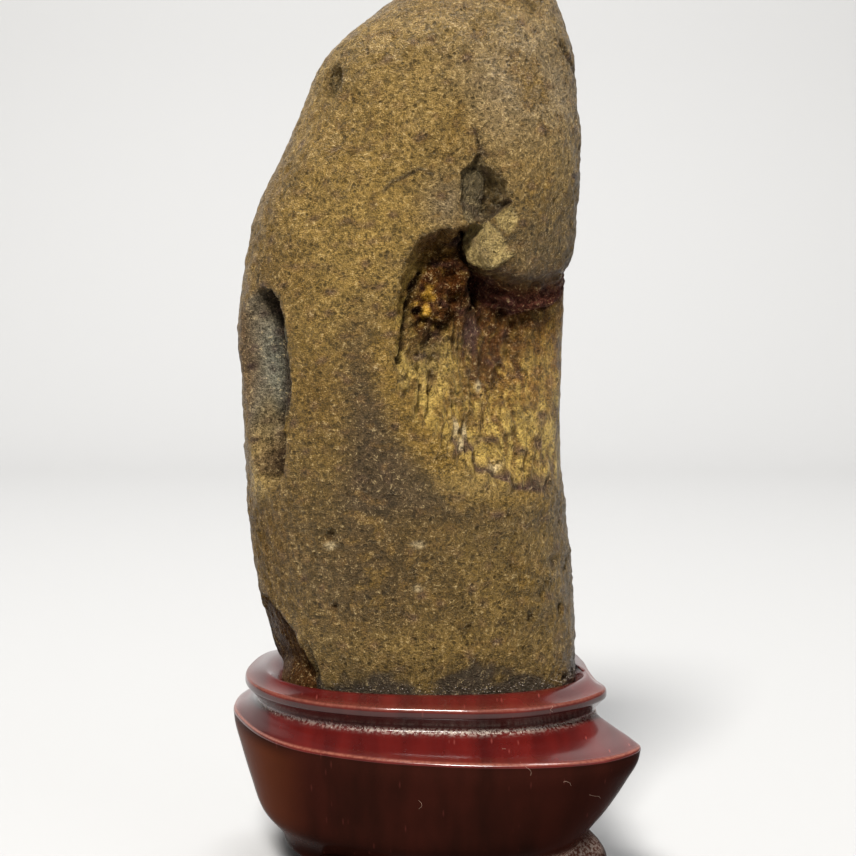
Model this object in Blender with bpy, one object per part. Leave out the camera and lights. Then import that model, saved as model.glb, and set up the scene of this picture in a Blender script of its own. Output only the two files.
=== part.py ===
"""A scholars rock, a tall water-worn stone with an overhanging lobe, on its carved hardwood stand.

Two pieces: the stone is one natural body, and the stand is carved from one block.
The stone rests in a shallow socket in the stand and can be lifted out.
Lengths in the tables are millimetres and are turned into metres when a mesh is made.
The origin is on the ground, under the middle of the stand. The front is towards -Y.
"""

import bpy
import bmesh
import numpy as np
from math import pi, radians

MM = 0.001

# ---------------------------------------------------------------- driving dimensions, millimetres

# Fit between the stone's foot and the socket in the stand.
SOCKET_GAP = 0.35
SOCKET_FLOOR = 37.5

# Stand levels above the ground.
COLLAR_TOP = 44.4
COLLAR_FACE_LOW = 41.9
WAIST = 38.9
RIM_TOP = 35.0
RIM_LOW = 34.2
BELLY = 14.0
UNDERSIDE = 5.5

# Roundings and insets of the stand.
UNDERSIDE_INSET = 3.0
UNDERSIDE_ROUND = 0.6
UNDERSIDE_BEVEL = 0.3
UNDERSIDE_EDGE = 2.2
RIM_ROUND = 0.5
WAIST_INSET = 2.6
COVE_RISE = 1.6
COVE_SHARE = 0.75
LEDGE_SHARE = 0.55
COLLAR_UNDERCUT = 0.5
COLLAR_LIP = 0.9
COLLAR_ROUND = 0.6
MOUTH_GAP = 0.3
SOCKET_LEVELS = (43.4, 42.0, 40.6, 39.4)
SOCKET_FLOOR_RING = 39.2
SOCKET_FLOOR_INSET = 3.0
# The flare from belly to rim: height and how far it has gone from the belly's outline to the rim's.
FLARE = [(20.0, 0.38), (27.0, 0.74), (32.0, 0.96)]

# Sections of the stone from foot to crown: height, left, right, front, back.
STONE_SECTIONS = [
    (38.0, -1.0, -1.0, -1.5, -1.5),
    (38.0, -18.0, 17.0, -11.5, 9.0),
    (39.2, -29.0, 28.0, -18.5, 15.5),
    (44.0, -32.8, 32.0, -21.5, 18.8),
    (50.0, -35.3, 32.2, -22.5, 20.2),
    (60.0, -37.8, 31.2, -23.4, 22.0),
    (72.0, -39.6, 30.2, -24.2, 24.0),
    (84.0, -41.0, 29.2, -24.6, 25.4),
    (98.0, -41.5, 28.6, -24.8, 25.8),
    (112.0, -41.4, 28.6, -24.8, 24.6),
    (126.0, -41.2, 28.9, -24.6, 22.6),
    (137.0, -39.9, 29.2, -24.2, 20.6),
    (147.0, -37.0, 29.4, -23.6, 19.4),
    (157.0, -32.4, 29.8, -22.6, 19.0),
    (166.0, -28.4, 30.3, -21.4, 18.8),
    (174.0, -25.4, 30.6, -20.0, 18.0),
    (181.0, -21.5, 30.4, -18.2, 16.6),
    (187.0, -15.2, 28.8, -15.8, 14.6),
    (192.4, -7.8, 26.4, -12.8, 12.0),
    (196.8, -0.4, 23.4, -9.4, 8.8),
    (199.8, 6.0, 20.2, -5.4, 5.0),
    (200.8, 13.0, 13.0, -0.4, -0.4),
]

# How full a section is: 1 is an ellipse, less is squarer. Past the side angle the girth grows evenly.
FULLNESS = 0.87
SIDE_ANGLE = radians(60)
SIDE_PACE = 0.6

# The lobe's swelling: height, place in girth and height, reach in girth and height.
SWELL = 4.8
SWELL_PLACE = (21.0, 151.0)
SWELL_REACH = (15.0, 20.0)
# Half width of the lobe's edge at four heights: a step below and a long slope above.
LOBE_WALL = ((132.0, 138.0, 154.0, 166.0), (3.0, 2.2, 2.2, 11.0))

# Hollows in the stone, each an outline round its edge.
# The first number of a point runs round the girth, and equals x on the front. The second is the height.
SCOOP = [
    (7.8, 144.0), (2.1, 143.0), (-2.4, 141.4), (-4.9, 138.0), (-7.2, 132.5), (-8.9, 126.5), (-9.4, 119.0),
    (-8.3, 111.5), (-4.4, 103.4), (0.6, 97.6), (8.0, 90.4), (16.0, 87.2), (26.0, 86.6),
    (38.0, 90.0), (47.0, 98.0), (50.0, 115.0), (48.0, 132.0), (40.0, 146.0), (22.0, 148.0),
]
CAVERN = [
    (7.6, 142.6), (9.4, 141.8), (10.4, 135.6), (13.4, 132.6), (16.8, 130.4), (16.0, 126.6),
    (12.6, 124.6), (10.0, 126.4), (8.6, 132.0), (7.0, 138.0),
]
LOBE = [
    (9.4, 162.0), (10.2, 158.0), (12.4, 154.6), (13.8, 152.2), (14.7, 149.8), (14.6, 147.2), (12.2, 145.9),
    (10.1, 143.2), (9.8, 139.4), (10.2, 137.0), (12.0, 133.8), (15.6, 131.3), (20.0, 130.6), (26.5, 132.6),
    (31.0, 135.6), (36.0, 139.5), (46.0, 146.0), (54.0, 156.0), (52.0, 172.0), (34.0, 186.0), (8.0, 184.0),
    (-2.0, 174.0),
]
CLEFT = [
    (9.8, 158.0), (10.8, 156.4), (13.0, 154.4), (14.4, 152.2), (15.3, 149.8), (15.1, 147.2), (12.6, 146.0),
    (10.0, 144.4), (8.2, 144.2), (6.9, 145.8), (6.2, 148.9), (6.1, 152.0), (6.4, 154.6), (8.0, 156.0),
]
LIP = [
    (10.6, 132.5), (19.0, 132.0), (27.0, 134.0), (34.0, 138.0), (33.0, 130.5), (27.0, 126.6),
    (19.0, 124.6), (14.2, 126.2),
]
SLOT = [
    (-37.4, 130.6), (-33.4, 130.6), (-31.4, 128.6), (-30.7, 125.5), (-29.6, 119.3), (-29.1, 113.3),
    (-29.0, 107.6),
    (-30.0, 101.4), (-30.2, 96.4), (-30.8, 91.6), (-32.6, 88.0), (-35.2, 88.0), (-37.2, 92.0),
    (-40.0, 98.0), (-44.0, 106.0), (-46.0, 116.0), (-43.0, 127.0),
]
PIT = [
    (-23.0, 173.4), (-21.5, 176.4), (-19.4, 177.6), (-18.5, 176.0), (-18.8, 172.6), (-20.4, 170.4),
    (-22.4, 170.8),
]
GROOVE = [
    (-35.6, 64.0), (-32.2, 61.0), (-29.0, 57.6), (-27.2, 54.6), (-25.8, 52.0), (-24.6, 49.2),
    (-23.8, 45.2), (-23.6, 36.0), (-46.0, 36.0), (-46.0, 58.0), (-40.0, 64.0),
]
BACK_HOLLOW = [(62.0, 96.0), (76.0, 92.0), (88.0, 104.0), (90.0, 126.0), (80.0, 142.0), (68.0, 130.0)]

# Depths of the hollows and widths of their walls. A pair of lists gives them at several heights.
SCOOP_DEPTH = ((86.0, 95.0, 110.0, 126.0, 138.0), (2.2, 4.2, 5.8, 6.6, 6.8))
SCOOP_WALL = ((122.0, 136.0), (8.0, 3.6))
SCOOP_FADE_START = 14.0
SCOOP_FADE = 18.0
CRUST_RISE = 1.6
CRUST_PLACE = (2.4, 129.0)
CRUST_REACH = (5.5, 7.0)
CAVERN_DEPTH = 7.0
LIP_RISE = 3.4
LIP_END = 31.0
LIP_FADE = 6.0
CLEFT_LEAST = 0.9
CLEFT_SLOPE = 0.40
CLEFT_START = 6.4
CLEFT_REACH = 7.0
SLOT_DEPTH = 6.0
SLOT_WALL = ((-40.0, -33.0), (6.0, 2.2))
SLOT_START = -46.0
SLOT_FADE = 11.0
PIT_DEPTH = 4.0
GROOVE_DEPTH = ((44.0, 62.0), (4.4, 1.7))
GROOVE_START = -47.0
GROOVE_FADE = 9.0
BACK_DEPTH = 3.0
BACK_WALL = 8.0
# Softest wall that a hollow may have, so that the facets stay sound.
SOFTEST = 2.2
# How far the scoop is tucked up under the lobe, as a share of its depth, and over what distance.
TUCK = 0.35
TUCK_REACH = 5.0

# Broad unevenness: size, height on the front, more height behind, seed. It fades out at the socket.
LUMPS = [(40.0, 0.3, 0.9, 3), (17.0, 0.16, 0.3, 5)]
FREE_FROM = 44.0
FREE_OVER = 5.0

# Facets of the stone: columns round it and rows up it.
STONE_COLUMNS = 64
STONE_ROWS = 48
FRONT_FAVOUR = 1.2
TRIAL_STEPS = 361

# Stand outlines seen from above, counter-clockwise from the middle of the front.
COLLAR_OUTLINE = [
    (0.0, -30.2), (11.0, -30.8), (21.0, -28.8), (30.0, -23.6), (35.4, -17.8), (38.4, -11.6), (37.0, -4.0),
    (36.2, 5.0), (35.6, 15.0), (33.0, 24.0), (22.0, 29.2), (5.0, 30.6), (-14.0, 30.6), (-29.0, 29.6),
    (-38.3, 23.8), (-41.6, 10.0), (-40.9, -2.0), (-36.0, -13.0), (-26.5, -22.6), (-13.0, -28.4),
]
RIM_OUTLINE = [
    (0.0, -36.6), (12.0, -38.0), (23.0, -37.8), (33.0, -35.4), (40.0, -30.8), (44.4, -24.2), (42.6, -16.6),
    (38.6, -8.0), (38.0, 5.0), (37.8, 18.0), (30.0, 31.0), (10.0, 36.4), (-12.0, 37.0), (-31.0, 35.0),
    (-43.0, 26.0), (-45.3, 11.5), (-42.6, -1.0), (-36.0, -15.6), (-27.0, -25.8), (-13.0, -33.2),
]
BELLY_OUTLINE = [
    (0.0, -30.4), (10.0, -31.0), (19.0, -30.0), (26.5, -27.0), (31.5, -22.6), (34.0, -16.4), (34.4, -10.0),
    (34.0, -2.0), (33.6, 6.0), (32.0, 17.0), (24.0, 26.0), (8.0, 30.0), (-11.0, 30.6), (-27.0, 28.6),
    (-36.4, 21.0), (-38.8, 9.5), (-37.4, -2.0), (-32.4, -12.4), (-24.0, -21.6), (-12.0, -27.6),
]
BASE_OUTLINE = [
    (0.0, -24.0), (9.0, -24.6), (17.0, -24.0), (24.0, -21.6), (28.8, -18.0), (31.8, -13.0), (32.6, -8.0),
    (32.4, -1.0), (31.8, 6.0), (29.6, 14.6), (21.0, 21.6), (7.0, 24.6), (-10.0, 25.0), (-23.0, 23.2),
    (-31.2, 17.0), (-33.6, 8.0), (-32.6, -1.0), (-28.6, -10.0), (-20.6, -17.4), (-10.6, -22.2),
]
STAND_COLUMNS = 60

# Feet: place of the sole's middle, half length away from the middle of the stand, half width.
FEET = [(29.0, -8.0, 8.0, 10.5), (19.0, 18.5, 7.0, 8.5), (-24.0, 16.0, 7.0, 8.5), (-16.5, -15.5, 6.0, 7.5)]
# Profile of a foot: height and how far it swells past its sole.
FOOT_PROFILE = [(0.0, 0.0), (0.7, 0.9), (2.6, 1.8), (5.4, 2.0), (8.0, 0.6), (10.0, -1.2), (12.0, -3.2)]
FOOT_COLUMNS = 18
CURVE_STEPS = 400


# ---------------------------------------------------------------- helpers

def smooth_step(amount):
    """0 to 1 with soft ends."""
    amount = np.clip(amount, 0.0, 1.0)
    return amount * amount * (3.0 - 2.0 * amount)


def through(knots, values, places):
    """A smooth curve through hand-set values (cubic Hermite with centred slopes)."""
    knots = np.asarray(knots, float)
    values = np.asarray(values, float)
    slopes = np.gradient(values, knots, axis=0)
    span = np.clip(np.searchsorted(knots, places, side="right") - 1, 0, len(knots) - 2)
    width = knots[span + 1] - knots[span]
    u = (places - knots[span]) / width
    if values.ndim == 2:
        u = u[..., None]
        width = width[..., None]
    start = values[span] * (2 * u**3 - 3 * u**2 + 1) + slopes[span] * width * (u**3 - 2 * u**2 + u)
    end = values[span + 1] * (3 * u**2 - 2 * u**3) + slopes[span + 1] * width * (u**3 - u**2)
    return start + end


def inside_distance(x, z, outline):
    """Distance to the nearest edge of a closed outline, positive inside it."""
    start = np.array(outline)
    step = np.roll(start, -1, axis=0) - start
    from_x = x[..., None] - start[:, 0]
    from_z = z[..., None] - start[:, 1]
    along = np.clip((from_x * step[:, 0] + from_z * step[:, 1]) / (step**2).sum(1), 0.0, 1.0)
    gap = np.hypot(from_x - along * step[:, 0], from_z - along * step[:, 1]).min(-1)
    level = start[:, 1] > z[..., None]
    crosses = level != (start[:, 1] + step[:, 1] > z[..., None])
    rise = np.where(step[:, 1] == 0.0, 1e-9, step[:, 1])
    edge_x = start[:, 0] + from_z * step[:, 0] / rise
    inside = (crosses & (x[..., None] < edge_x)).sum(-1) % 2 == 1
    return np.where(inside, gap, -gap)


def spot(x, z, place, reach):
    """A soft oval spot: 1 at its middle, fading as a bell curve."""
    return np.exp(-(((x - place[0]) / reach[0]) ** 2) - ((z - place[1]) / reach[1]) ** 2)


def lumps(points, size, seed, waves=24):
    """Soft random swellings about one size across: a sum of plane waves in seeded directions."""
    rng = np.random.default_rng(seed)
    directions = rng.normal(size=(waves, 3))
    directions /= np.linalg.norm(directions, axis=1)[:, None]
    directions *= rng.uniform(0.7, 1.3, size=(waves, 1)) * 2 * pi / size
    phases = rng.uniform(0.0, 2 * pi, size=waves)
    return np.sin(points @ directions.T + phases).sum(-1) * np.sqrt(2.0 / waves)


def mesh_object(name, points, faces, material):
    """One named object from points in millimetres, shaded smooth."""
    mesh = bpy.data.meshes.new(name)
    mesh.from_pydata((np.asarray(points) * MM).tolist(), [], faces)
    mesh.validate()
    body = bmesh.new()
    body.from_mesh(mesh)
    bmesh.ops.recalc_face_normals(body, faces=body.faces)
    body.to_mesh(mesh)
    body.free()
    mesh.shade_smooth()
    mesh.set_sharp_from_angle(angle=radians(50))
    mesh.materials.append(material)
    piece = bpy.data.objects.new(name, mesh)
    bpy.context.scene.collection.objects.link(piece)
    return piece


def closed_grid_faces(rows, columns):
    """Faces of a grid of rings, closed by a fan to the first point and a fan to the last."""
    faces = []
    last = 1 + rows * columns
    for column in range(columns):
        following = (column + 1) % columns
        faces.append((0, 1 + following, 1 + column))
        for row in range(rows - 1):
            low = 1 + row * columns
            high = low + columns
            faces.append((low + column, low + following, high + following, high + column))
        top = 1 + (rows - 1) * columns
        faces.append((top + column, top + following, last))
    return faces


def finish(name, colour, roughness):
    """A plain Principled material."""
    material = bpy.data.materials.new(name)
    material.use_nodes = True
    shader = material.node_tree.nodes["Principled BSDF"]
    shader.inputs["Base Color"].default_value = (*colour, 1.0)
    shader.inputs["Roughness"].default_value = roughness
    shader.inputs["Metallic"].default_value = 0.0
    return material


# ---------------------------------------------------------------- stone

def stone_base(turn, rise):
    """Point on the stone before its relief, and its place round the girth.

    turn is the angle from the front, positive to the right. rise runs from 0 at the foot to 1 at
    the crown. Each section is a superellipse between the left, right, front and back of the table.
    """
    sections = np.array(STONE_SECTIONS)
    steps = np.hypot(np.diff(sections[:, 0]), 0.5 * np.hypot(np.diff(sections[:, 1]), np.diff(sections[:, 2])))
    knots = np.concatenate([[0.0], np.cumsum(steps)])
    knots /= knots[-1]
    values = through(knots, sections, rise)
    height, left, right, front, back = (values[..., k] for k in range(5))
    middle = 0.5 * (left + right)
    half_width = 0.5 * (right - left)
    across = np.sign(np.sin(turn)) * np.abs(np.sin(turn)) ** FULLNESS
    forward = np.sign(np.cos(turn)) * np.abs(np.cos(turn)) ** FULLNESS
    depth = 0.5 * (front + back) - 0.5 * (back - front) * forward
    point = np.stack([middle + half_width * across, depth, height], -1)
    past = np.maximum(np.abs(turn) - SIDE_ANGLE, 0.0)
    girth = np.where(past > 0.0, np.sign(turn) * (np.sin(SIDE_ANGLE) ** FULLNESS + SIDE_PACE * past), across)
    return point, middle + half_width * girth


def hollow(x, z, outline, depth, wall):
    """Depth of a hollow: none at its outline, full once the wall is passed."""
    return depth * smooth_step(inside_distance(x, z, outline) / np.maximum(wall, SOFTEST))


def stone_surface(turn, rise):
    """The stone's surface: base form, plus lobe and lumps, minus hollows."""
    point, x = stone_base(turn, rise)
    z = point[..., 2]
    small = 1e-3
    across = stone_base(turn + small, rise)[0] - stone_base(turn - small, rise)[0]
    above = stone_base(turn, np.minimum(rise + small, 1.0))[0]
    upward = above - stone_base(turn, np.maximum(rise - small, 0.0))[0]
    normal = np.cross(across, upward)
    length = np.linalg.norm(normal, axis=-1)[..., None]
    normal = np.where(length > 1e-9, normal / np.maximum(length, 1e-9), 0.0)

    lobe_edge = inside_distance(x, z, LOBE)
    lobe = smooth_step(0.5 + 0.5 * lobe_edge / np.interp(z, *LOBE_WALL))
    swell = SWELL * spot(x, z, SWELL_PLACE, SWELL_REACH)

    scoop = hollow(x, z, SCOOP, np.interp(z, *SCOOP_DEPTH), np.interp(z, *SCOOP_WALL))
    scoop *= 1.0 - smooth_step((x - SCOOP_FADE_START) / SCOOP_FADE)
    crust = CRUST_RISE * spot(x, z, CRUST_PLACE, CRUST_REACH) * smooth_step(scoop / 4.0)
    cavern = hollow(x, z, CAVERN, CAVERN_DEPTH, SOFTEST)
    lip = hollow(x, z, LIP, LIP_RISE, SOFTEST) * smooth_step((LIP_END - x) / LIP_FADE)
    hollows = np.maximum(scoop + cavern - lip - crust, 0.0) * (1.0 - lobe)

    cleft_depth = CLEFT_LEAST + CLEFT_SLOPE * np.clip(x - CLEFT_START, 0.0, CLEFT_REACH)
    cleft = hollow(x, z, CLEFT, cleft_depth, SOFTEST) * (1.0 - lobe)
    slot = hollow(x, z, SLOT, SLOT_DEPTH, np.interp(x, *SLOT_WALL)) * smooth_step((x - SLOT_START) / SLOT_FADE)
    pit = hollow(x, z, PIT, PIT_DEPTH, SOFTEST)
    groove = hollow(x, z, GROOVE, np.interp(z, *GROOVE_DEPTH), SOFTEST)
    groove *= smooth_step((x - GROOVE_START) / GROOVE_FADE)
    back = hollow(x, z, BACK_HOLLOW, BACK_DEPTH, BACK_WALL)

    free = smooth_step((z - FREE_FROM) / FREE_OVER)
    behind = smooth_step(-0.2 - 1.2 * np.cos(turn))
    rough = sum((front + more * behind) * lumps(point, size, seed) for size, front, more, seed in LUMPS)
    out = swell * lobe + free * rough - hollows - cleft - slot - pit - groove * free - back
    moved = point + normal * out[..., None]
    under = np.exp(-((np.minimum(lobe_edge, 0.0) / TUCK_REACH) ** 2))
    moved[..., 2] += TUCK * hollows * under * (1.0 - lobe)
    return moved


def evened(places, costs, count):
    """Places that share a running cost equally between them, line by line."""
    running = np.cumsum(costs, axis=1)
    running -= running[:, :1]
    running /= running[:, -1:]
    wanted = np.arange(count) / count
    return np.stack([np.interp(wanted, one, places) for one in running])


def blurred(lines, reach):
    """Each line mixed with its neighbours, so that nearby lines stay alike."""
    weights = np.hanning(2 * reach + 3)[1:-1]
    weights /= weights.sum()
    padded = np.concatenate([lines[:1].repeat(reach, 0), lines, lines[-1:].repeat(reach, 0)])
    return sum(weight * padded[k:k + len(lines)] for k, weight in enumerate(weights))


def stone_grid(rows, columns):
    """Turns and rises of a grid whose steps are about equal on the finished surface.

    Rows are first spread along each column by the length that the relief gives it. Columns are
    then spread along each row in the same way, with a little more room on the front.
    """
    turn = np.linspace(-pi, pi, TRIAL_STEPS)
    rise = np.linspace(0.0, 1.0, TRIAL_STEPS)
    trial = stone_surface(*np.meshgrid(turn, rise))
    climb = np.linalg.norm(np.diff(trial, axis=0, append=trial[-1:]), axis=2).T
    climb = blurred(climb, 12)
    climb[-1] = climb[0] = 0.5 * (climb[0] + climb[-1])
    heights = evened(rise, climb, rows + 1)[:, 1:].T
    trial = stone_surface(turn[None, :].repeat(rows, 0), heights)
    stride = np.linalg.norm(np.diff(trial, axis=1, append=trial[:, -1:]), axis=2)
    stride *= 1.0 + FRONT_FAVOUR * smooth_step(0.5 + 0.8 * np.cos(turn))
    turns = evened(turn, blurred(stride, 2), columns)
    rises = np.stack([np.interp(one, turn, height) for one, height in zip(turns, heights)])
    return turns, rises


def make_stone(material):
    """The stone as one closed body."""
    turns, rises = stone_grid(STONE_ROWS, STONE_COLUMNS)
    rings = stone_surface(turns, rises).reshape(-1, 3)
    foot = np.array(STONE_SECTIONS[0])
    crown = np.array(STONE_SECTIONS[-1])
    bottom = [[foot[1], foot[3], foot[0]]]
    top = [[crown[1], crown[3], crown[0]]]
    points = np.concatenate([bottom, rings, top]) - stand_centre()
    return mesh_object("stone", points, closed_grid_faces(STONE_ROWS, STONE_COLUMNS), material)


# ---------------------------------------------------------------- stand

def closed_curve(outline, places):
    """A smooth closed curve through an outline's points. places run from 0 to 1 round it."""
    ring = np.array(outline + outline + outline)
    knots = np.arange(len(ring)) / len(outline) - 1.0
    return through(knots, ring, places)


def stand_centre():
    """Middle of the rim seen from above, which the origin stands under."""
    rim = closed_curve(RIM_OUTLINE, np.linspace(0.0, 1.0, CURVE_STEPS))
    middle = 0.5 * (rim.max(0) + rim.min(0))
    return np.array([middle[0], middle[1], 0.0])


def inset(ring, distance):
    """A ring moved inwards by a distance, square to itself."""
    along = np.roll(ring, -1, axis=0) - np.roll(ring, 1, axis=0)
    along /= np.linalg.norm(along, axis=1)[:, None]
    inward = np.stack([-along[:, 1], along[:, 0]], 1)
    return ring + inward * distance


def level(ring, height):
    """A ring of points at one height."""
    return np.column_stack([ring, np.full(len(ring), height)])


def socket_ring(places, height, gap):
    """The stone's own section at a height, opened by a gap."""
    rises = np.linspace(0.0, 0.5, CURVE_STEPS)
    heights = stone_base(np.zeros(CURVE_STEPS), rises)[0][:, 2]
    rise = np.interp(height, heights, rises)
    ring = stone_base(2 * pi * places, np.full(len(places), rise))[0][:, :2]
    return inset(ring, -gap)


def make_bowl(material):
    """Collar, cove, rim and bowl: rings carried from the underside over the collar into the socket."""
    places = np.arange(STAND_COLUMNS) / STAND_COLUMNS
    collar = closed_curve(COLLAR_OUTLINE, places)
    rim = closed_curve(RIM_OUTLINE, places)
    belly = closed_curve(BELLY_OUTLINE, places)
    base = closed_curve(BASE_OUTLINE, places)
    waist = inset(collar, WAIST_INSET)
    ledge = LEDGE_SHARE * waist + (1.0 - LEDGE_SHARE) * inset(rim, RIM_ROUND)
    rings = [
        level(inset(base, UNDERSIDE_INSET), UNDERSIDE),
        level(inset(base, UNDERSIDE_ROUND), UNDERSIDE + UNDERSIDE_BEVEL),
        level(base, UNDERSIDE + UNDERSIDE_EDGE),
        level(belly, BELLY),
        *(level((1.0 - share) * belly + share * rim, height) for height, share in FLARE),
        level(rim, RIM_LOW),
        level(inset(rim, RIM_ROUND), RIM_TOP),
        level(ledge, 0.5 * (RIM_TOP + WAIST)),
        level(waist, WAIST),
        level(inset(collar, WAIST_INSET * COVE_SHARE), WAIST + COVE_RISE),
        level(inset(collar, COLLAR_UNDERCUT), COLLAR_FACE_LOW),
        level(collar, COLLAR_FACE_LOW + COLLAR_LIP),
        level(collar, COLLAR_TOP - RIM_ROUND),
        level(inset(collar, COLLAR_ROUND), COLLAR_TOP),
        level(socket_ring(places, COLLAR_TOP, SOCKET_GAP + MOUTH_GAP), COLLAR_TOP),
        *(level(socket_ring(places, height, SOCKET_GAP), height) for height in SOCKET_LEVELS),
        level(socket_ring(places, SOCKET_FLOOR_RING, -SOCKET_FLOOR_INSET), SOCKET_FLOOR),
    ]
    middle = np.array([[0.0, 0.0, UNDERSIDE]])
    floor = np.array([[STONE_SECTIONS[0][1], STONE_SECTIONS[0][3], SOCKET_FLOOR]])
    points = np.concatenate([middle, *rings, floor]) - stand_centre()
    return mesh_object("stand", points, closed_grid_faces(len(rings), STAND_COLUMNS), material)


def make_foot(number, x, y, half_length, half_width):
    """One foot: an oval sole that swells and then narrows into the bowl's underside."""
    around = 2 * pi * np.arange(FOOT_COLUMNS) / FOOT_COLUMNS
    outward = np.arctan2(y, x)
    rings = []
    for height, swell in FOOT_PROFILE:
        along = (half_length + swell) * np.cos(around)
        across = (half_width + swell) * np.sin(around)
        ring_x = x + along * np.cos(outward) - across * np.sin(outward)
        ring_y = y + along * np.sin(outward) + across * np.cos(outward)
        rings.append(np.column_stack([ring_x, ring_y, np.full(FOOT_COLUMNS, height)]))
    bottom = np.array([[x, y, FOOT_PROFILE[0][0]]])
    top = np.array([[x, y, FOOT_PROFILE[-1][0]]])
    points = np.concatenate([bottom, *rings, top]) - stand_centre()
    foot = mesh_object(f"foot_{number}", points, closed_grid_faces(len(rings), FOOT_COLUMNS), None)
    foot.hide_render = True
    foot.display_type = "WIRE"
    return foot


def make_stand(material):
    """The stand: the bowl with its feet joined on, as they are carved from one block."""
    stand = make_bowl(material)
    for number, foot in enumerate(FEET):
        union = stand.modifiers.new(f"foot_{number}", "BOOLEAN")
        union.operation = "UNION"
        union.solver = "EXACT"
        union.object = make_foot(number, *foot)
    return stand


# ---------------------------------------------------------------- build

for thing in list(bpy.data.objects):
    bpy.data.objects.remove(thing)

stone_finish = finish("stone", (0.20, 0.15, 0.085), 0.72)
rosewood_finish = finish("rosewood", (0.085, 0.022, 0.016), 0.28)
make_stone(stone_finish)
make_stand(rosewood_finish)
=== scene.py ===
# %% [markdown]
# # A scholars rock on its carved stand
#
# A scholars rock is a stone that somebody picked up for its shape and set on a stand to be looked
# at. This one is a slender piece of river sandstone. Water rounded its skin, a softer vein fell out
# of its front, and what was above the vein now hangs over the hollow as a lobe. The stand is carved
# from one block of rosewood and is cut to the outline of this one stone.
#
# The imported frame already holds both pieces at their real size. The lesson makes them again, finer:
# each is a surface that numpy works out on a grid, and each gets a finish made of nodes.

# %% Load the frame and keep its box
from itertools import product
from math import atan, degrees, pi, radians

import bpy
import numpy as np
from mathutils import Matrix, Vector


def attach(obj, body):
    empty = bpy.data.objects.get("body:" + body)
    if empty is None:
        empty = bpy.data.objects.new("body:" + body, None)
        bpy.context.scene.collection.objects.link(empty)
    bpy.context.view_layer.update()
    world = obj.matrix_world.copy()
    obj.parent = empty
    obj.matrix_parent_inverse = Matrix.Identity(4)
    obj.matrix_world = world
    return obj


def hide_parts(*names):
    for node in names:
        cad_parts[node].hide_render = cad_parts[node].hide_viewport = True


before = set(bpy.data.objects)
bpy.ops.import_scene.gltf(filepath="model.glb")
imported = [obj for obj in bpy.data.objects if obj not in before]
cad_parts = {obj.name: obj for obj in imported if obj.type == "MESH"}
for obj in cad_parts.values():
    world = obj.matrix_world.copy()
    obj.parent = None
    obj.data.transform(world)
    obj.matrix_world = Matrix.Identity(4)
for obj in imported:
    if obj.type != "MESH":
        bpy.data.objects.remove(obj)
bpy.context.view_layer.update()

MM = 0.001


# %% [markdown]
# ## Camera
#
# A small thing seen from close by shows strong perspective, so the distance matters as much as the
# direction. The eye is a little above the middle of the stone and looks down by about five degrees.
# A lens in millimetres follows from the focal length in pixels and the frame's width.

# %% Camera
FRAME_PIXELS = 856
FOCAL_PIXELS = 1700.0
HORIZON_ROW = 268.0
SIDE_STEP_PIXELS = 2.0
EYE = (0.42, -373.52, 135.0)
SENSOR_WIDTH = 36.0
NEAREST_SEEN = 0.01

camera_data = bpy.data.cameras.new("camera")
camera_data.sensor_width = SENSOR_WIDTH
camera_data.lens = SENSOR_WIDTH * FOCAL_PIXELS / FRAME_PIXELS
camera_data.shift_x = -SIDE_STEP_PIXELS / FRAME_PIXELS
camera_data.clip_start = NEAREST_SEEN
camera = bpy.data.objects.new("camera", camera_data)
pitch = atan((0.5 * FRAME_PIXELS - HORIZON_ROW) / FOCAL_PIXELS)
camera.location = [part * MM for part in EYE]
camera.rotation_euler = (pi / 2 - pitch, 0.0, 0.0)
bpy.context.scene.collection.objects.link(camera)
bpy.context.scene.camera = camera
bpy.context.scene.view_settings.view_transform = "Standard"
print(f"lens {camera_data.lens:.1f} mm, looking down {degrees(pitch):.1f} degrees")

# %% [markdown]
# ## Floor and light
#
# The stone stands in a bright, plain room. A pale sheet runs along the floor and curves up behind,
# so that no edge shows. The world gives an even light from all round, a strong lamp above and in
# front shapes the relief, a weak one stands to the right, and one behind lights the sheet. A hard
# light would turn the sandy skin into a field of black dots, so each lamp is a square of about half
# a metre.

# %% Floor sheet
FLOOR_HALF_WIDTH = 1.6
FLOOR_FRONT = -1.2
FLOOR_BACK = 0.75
BEND_RADIUS = 0.35
BEND_POINTS = 17
WALL_TOP = 1.6
SHEET_COLOUR = (0.42, 0.416, 0.412)
SHEET_ROUGHNESS = 0.9


def plain_finish(name, colour, roughness):
    """A Principled material with a plain colour."""
    material = bpy.data.materials.new(name)
    material.use_nodes = True
    shader = material.node_tree.nodes["Principled BSDF"]
    shader.inputs["Base Color"].default_value = (*colour, 1.0)
    shader.inputs["Roughness"].default_value = roughness
    return material


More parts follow.
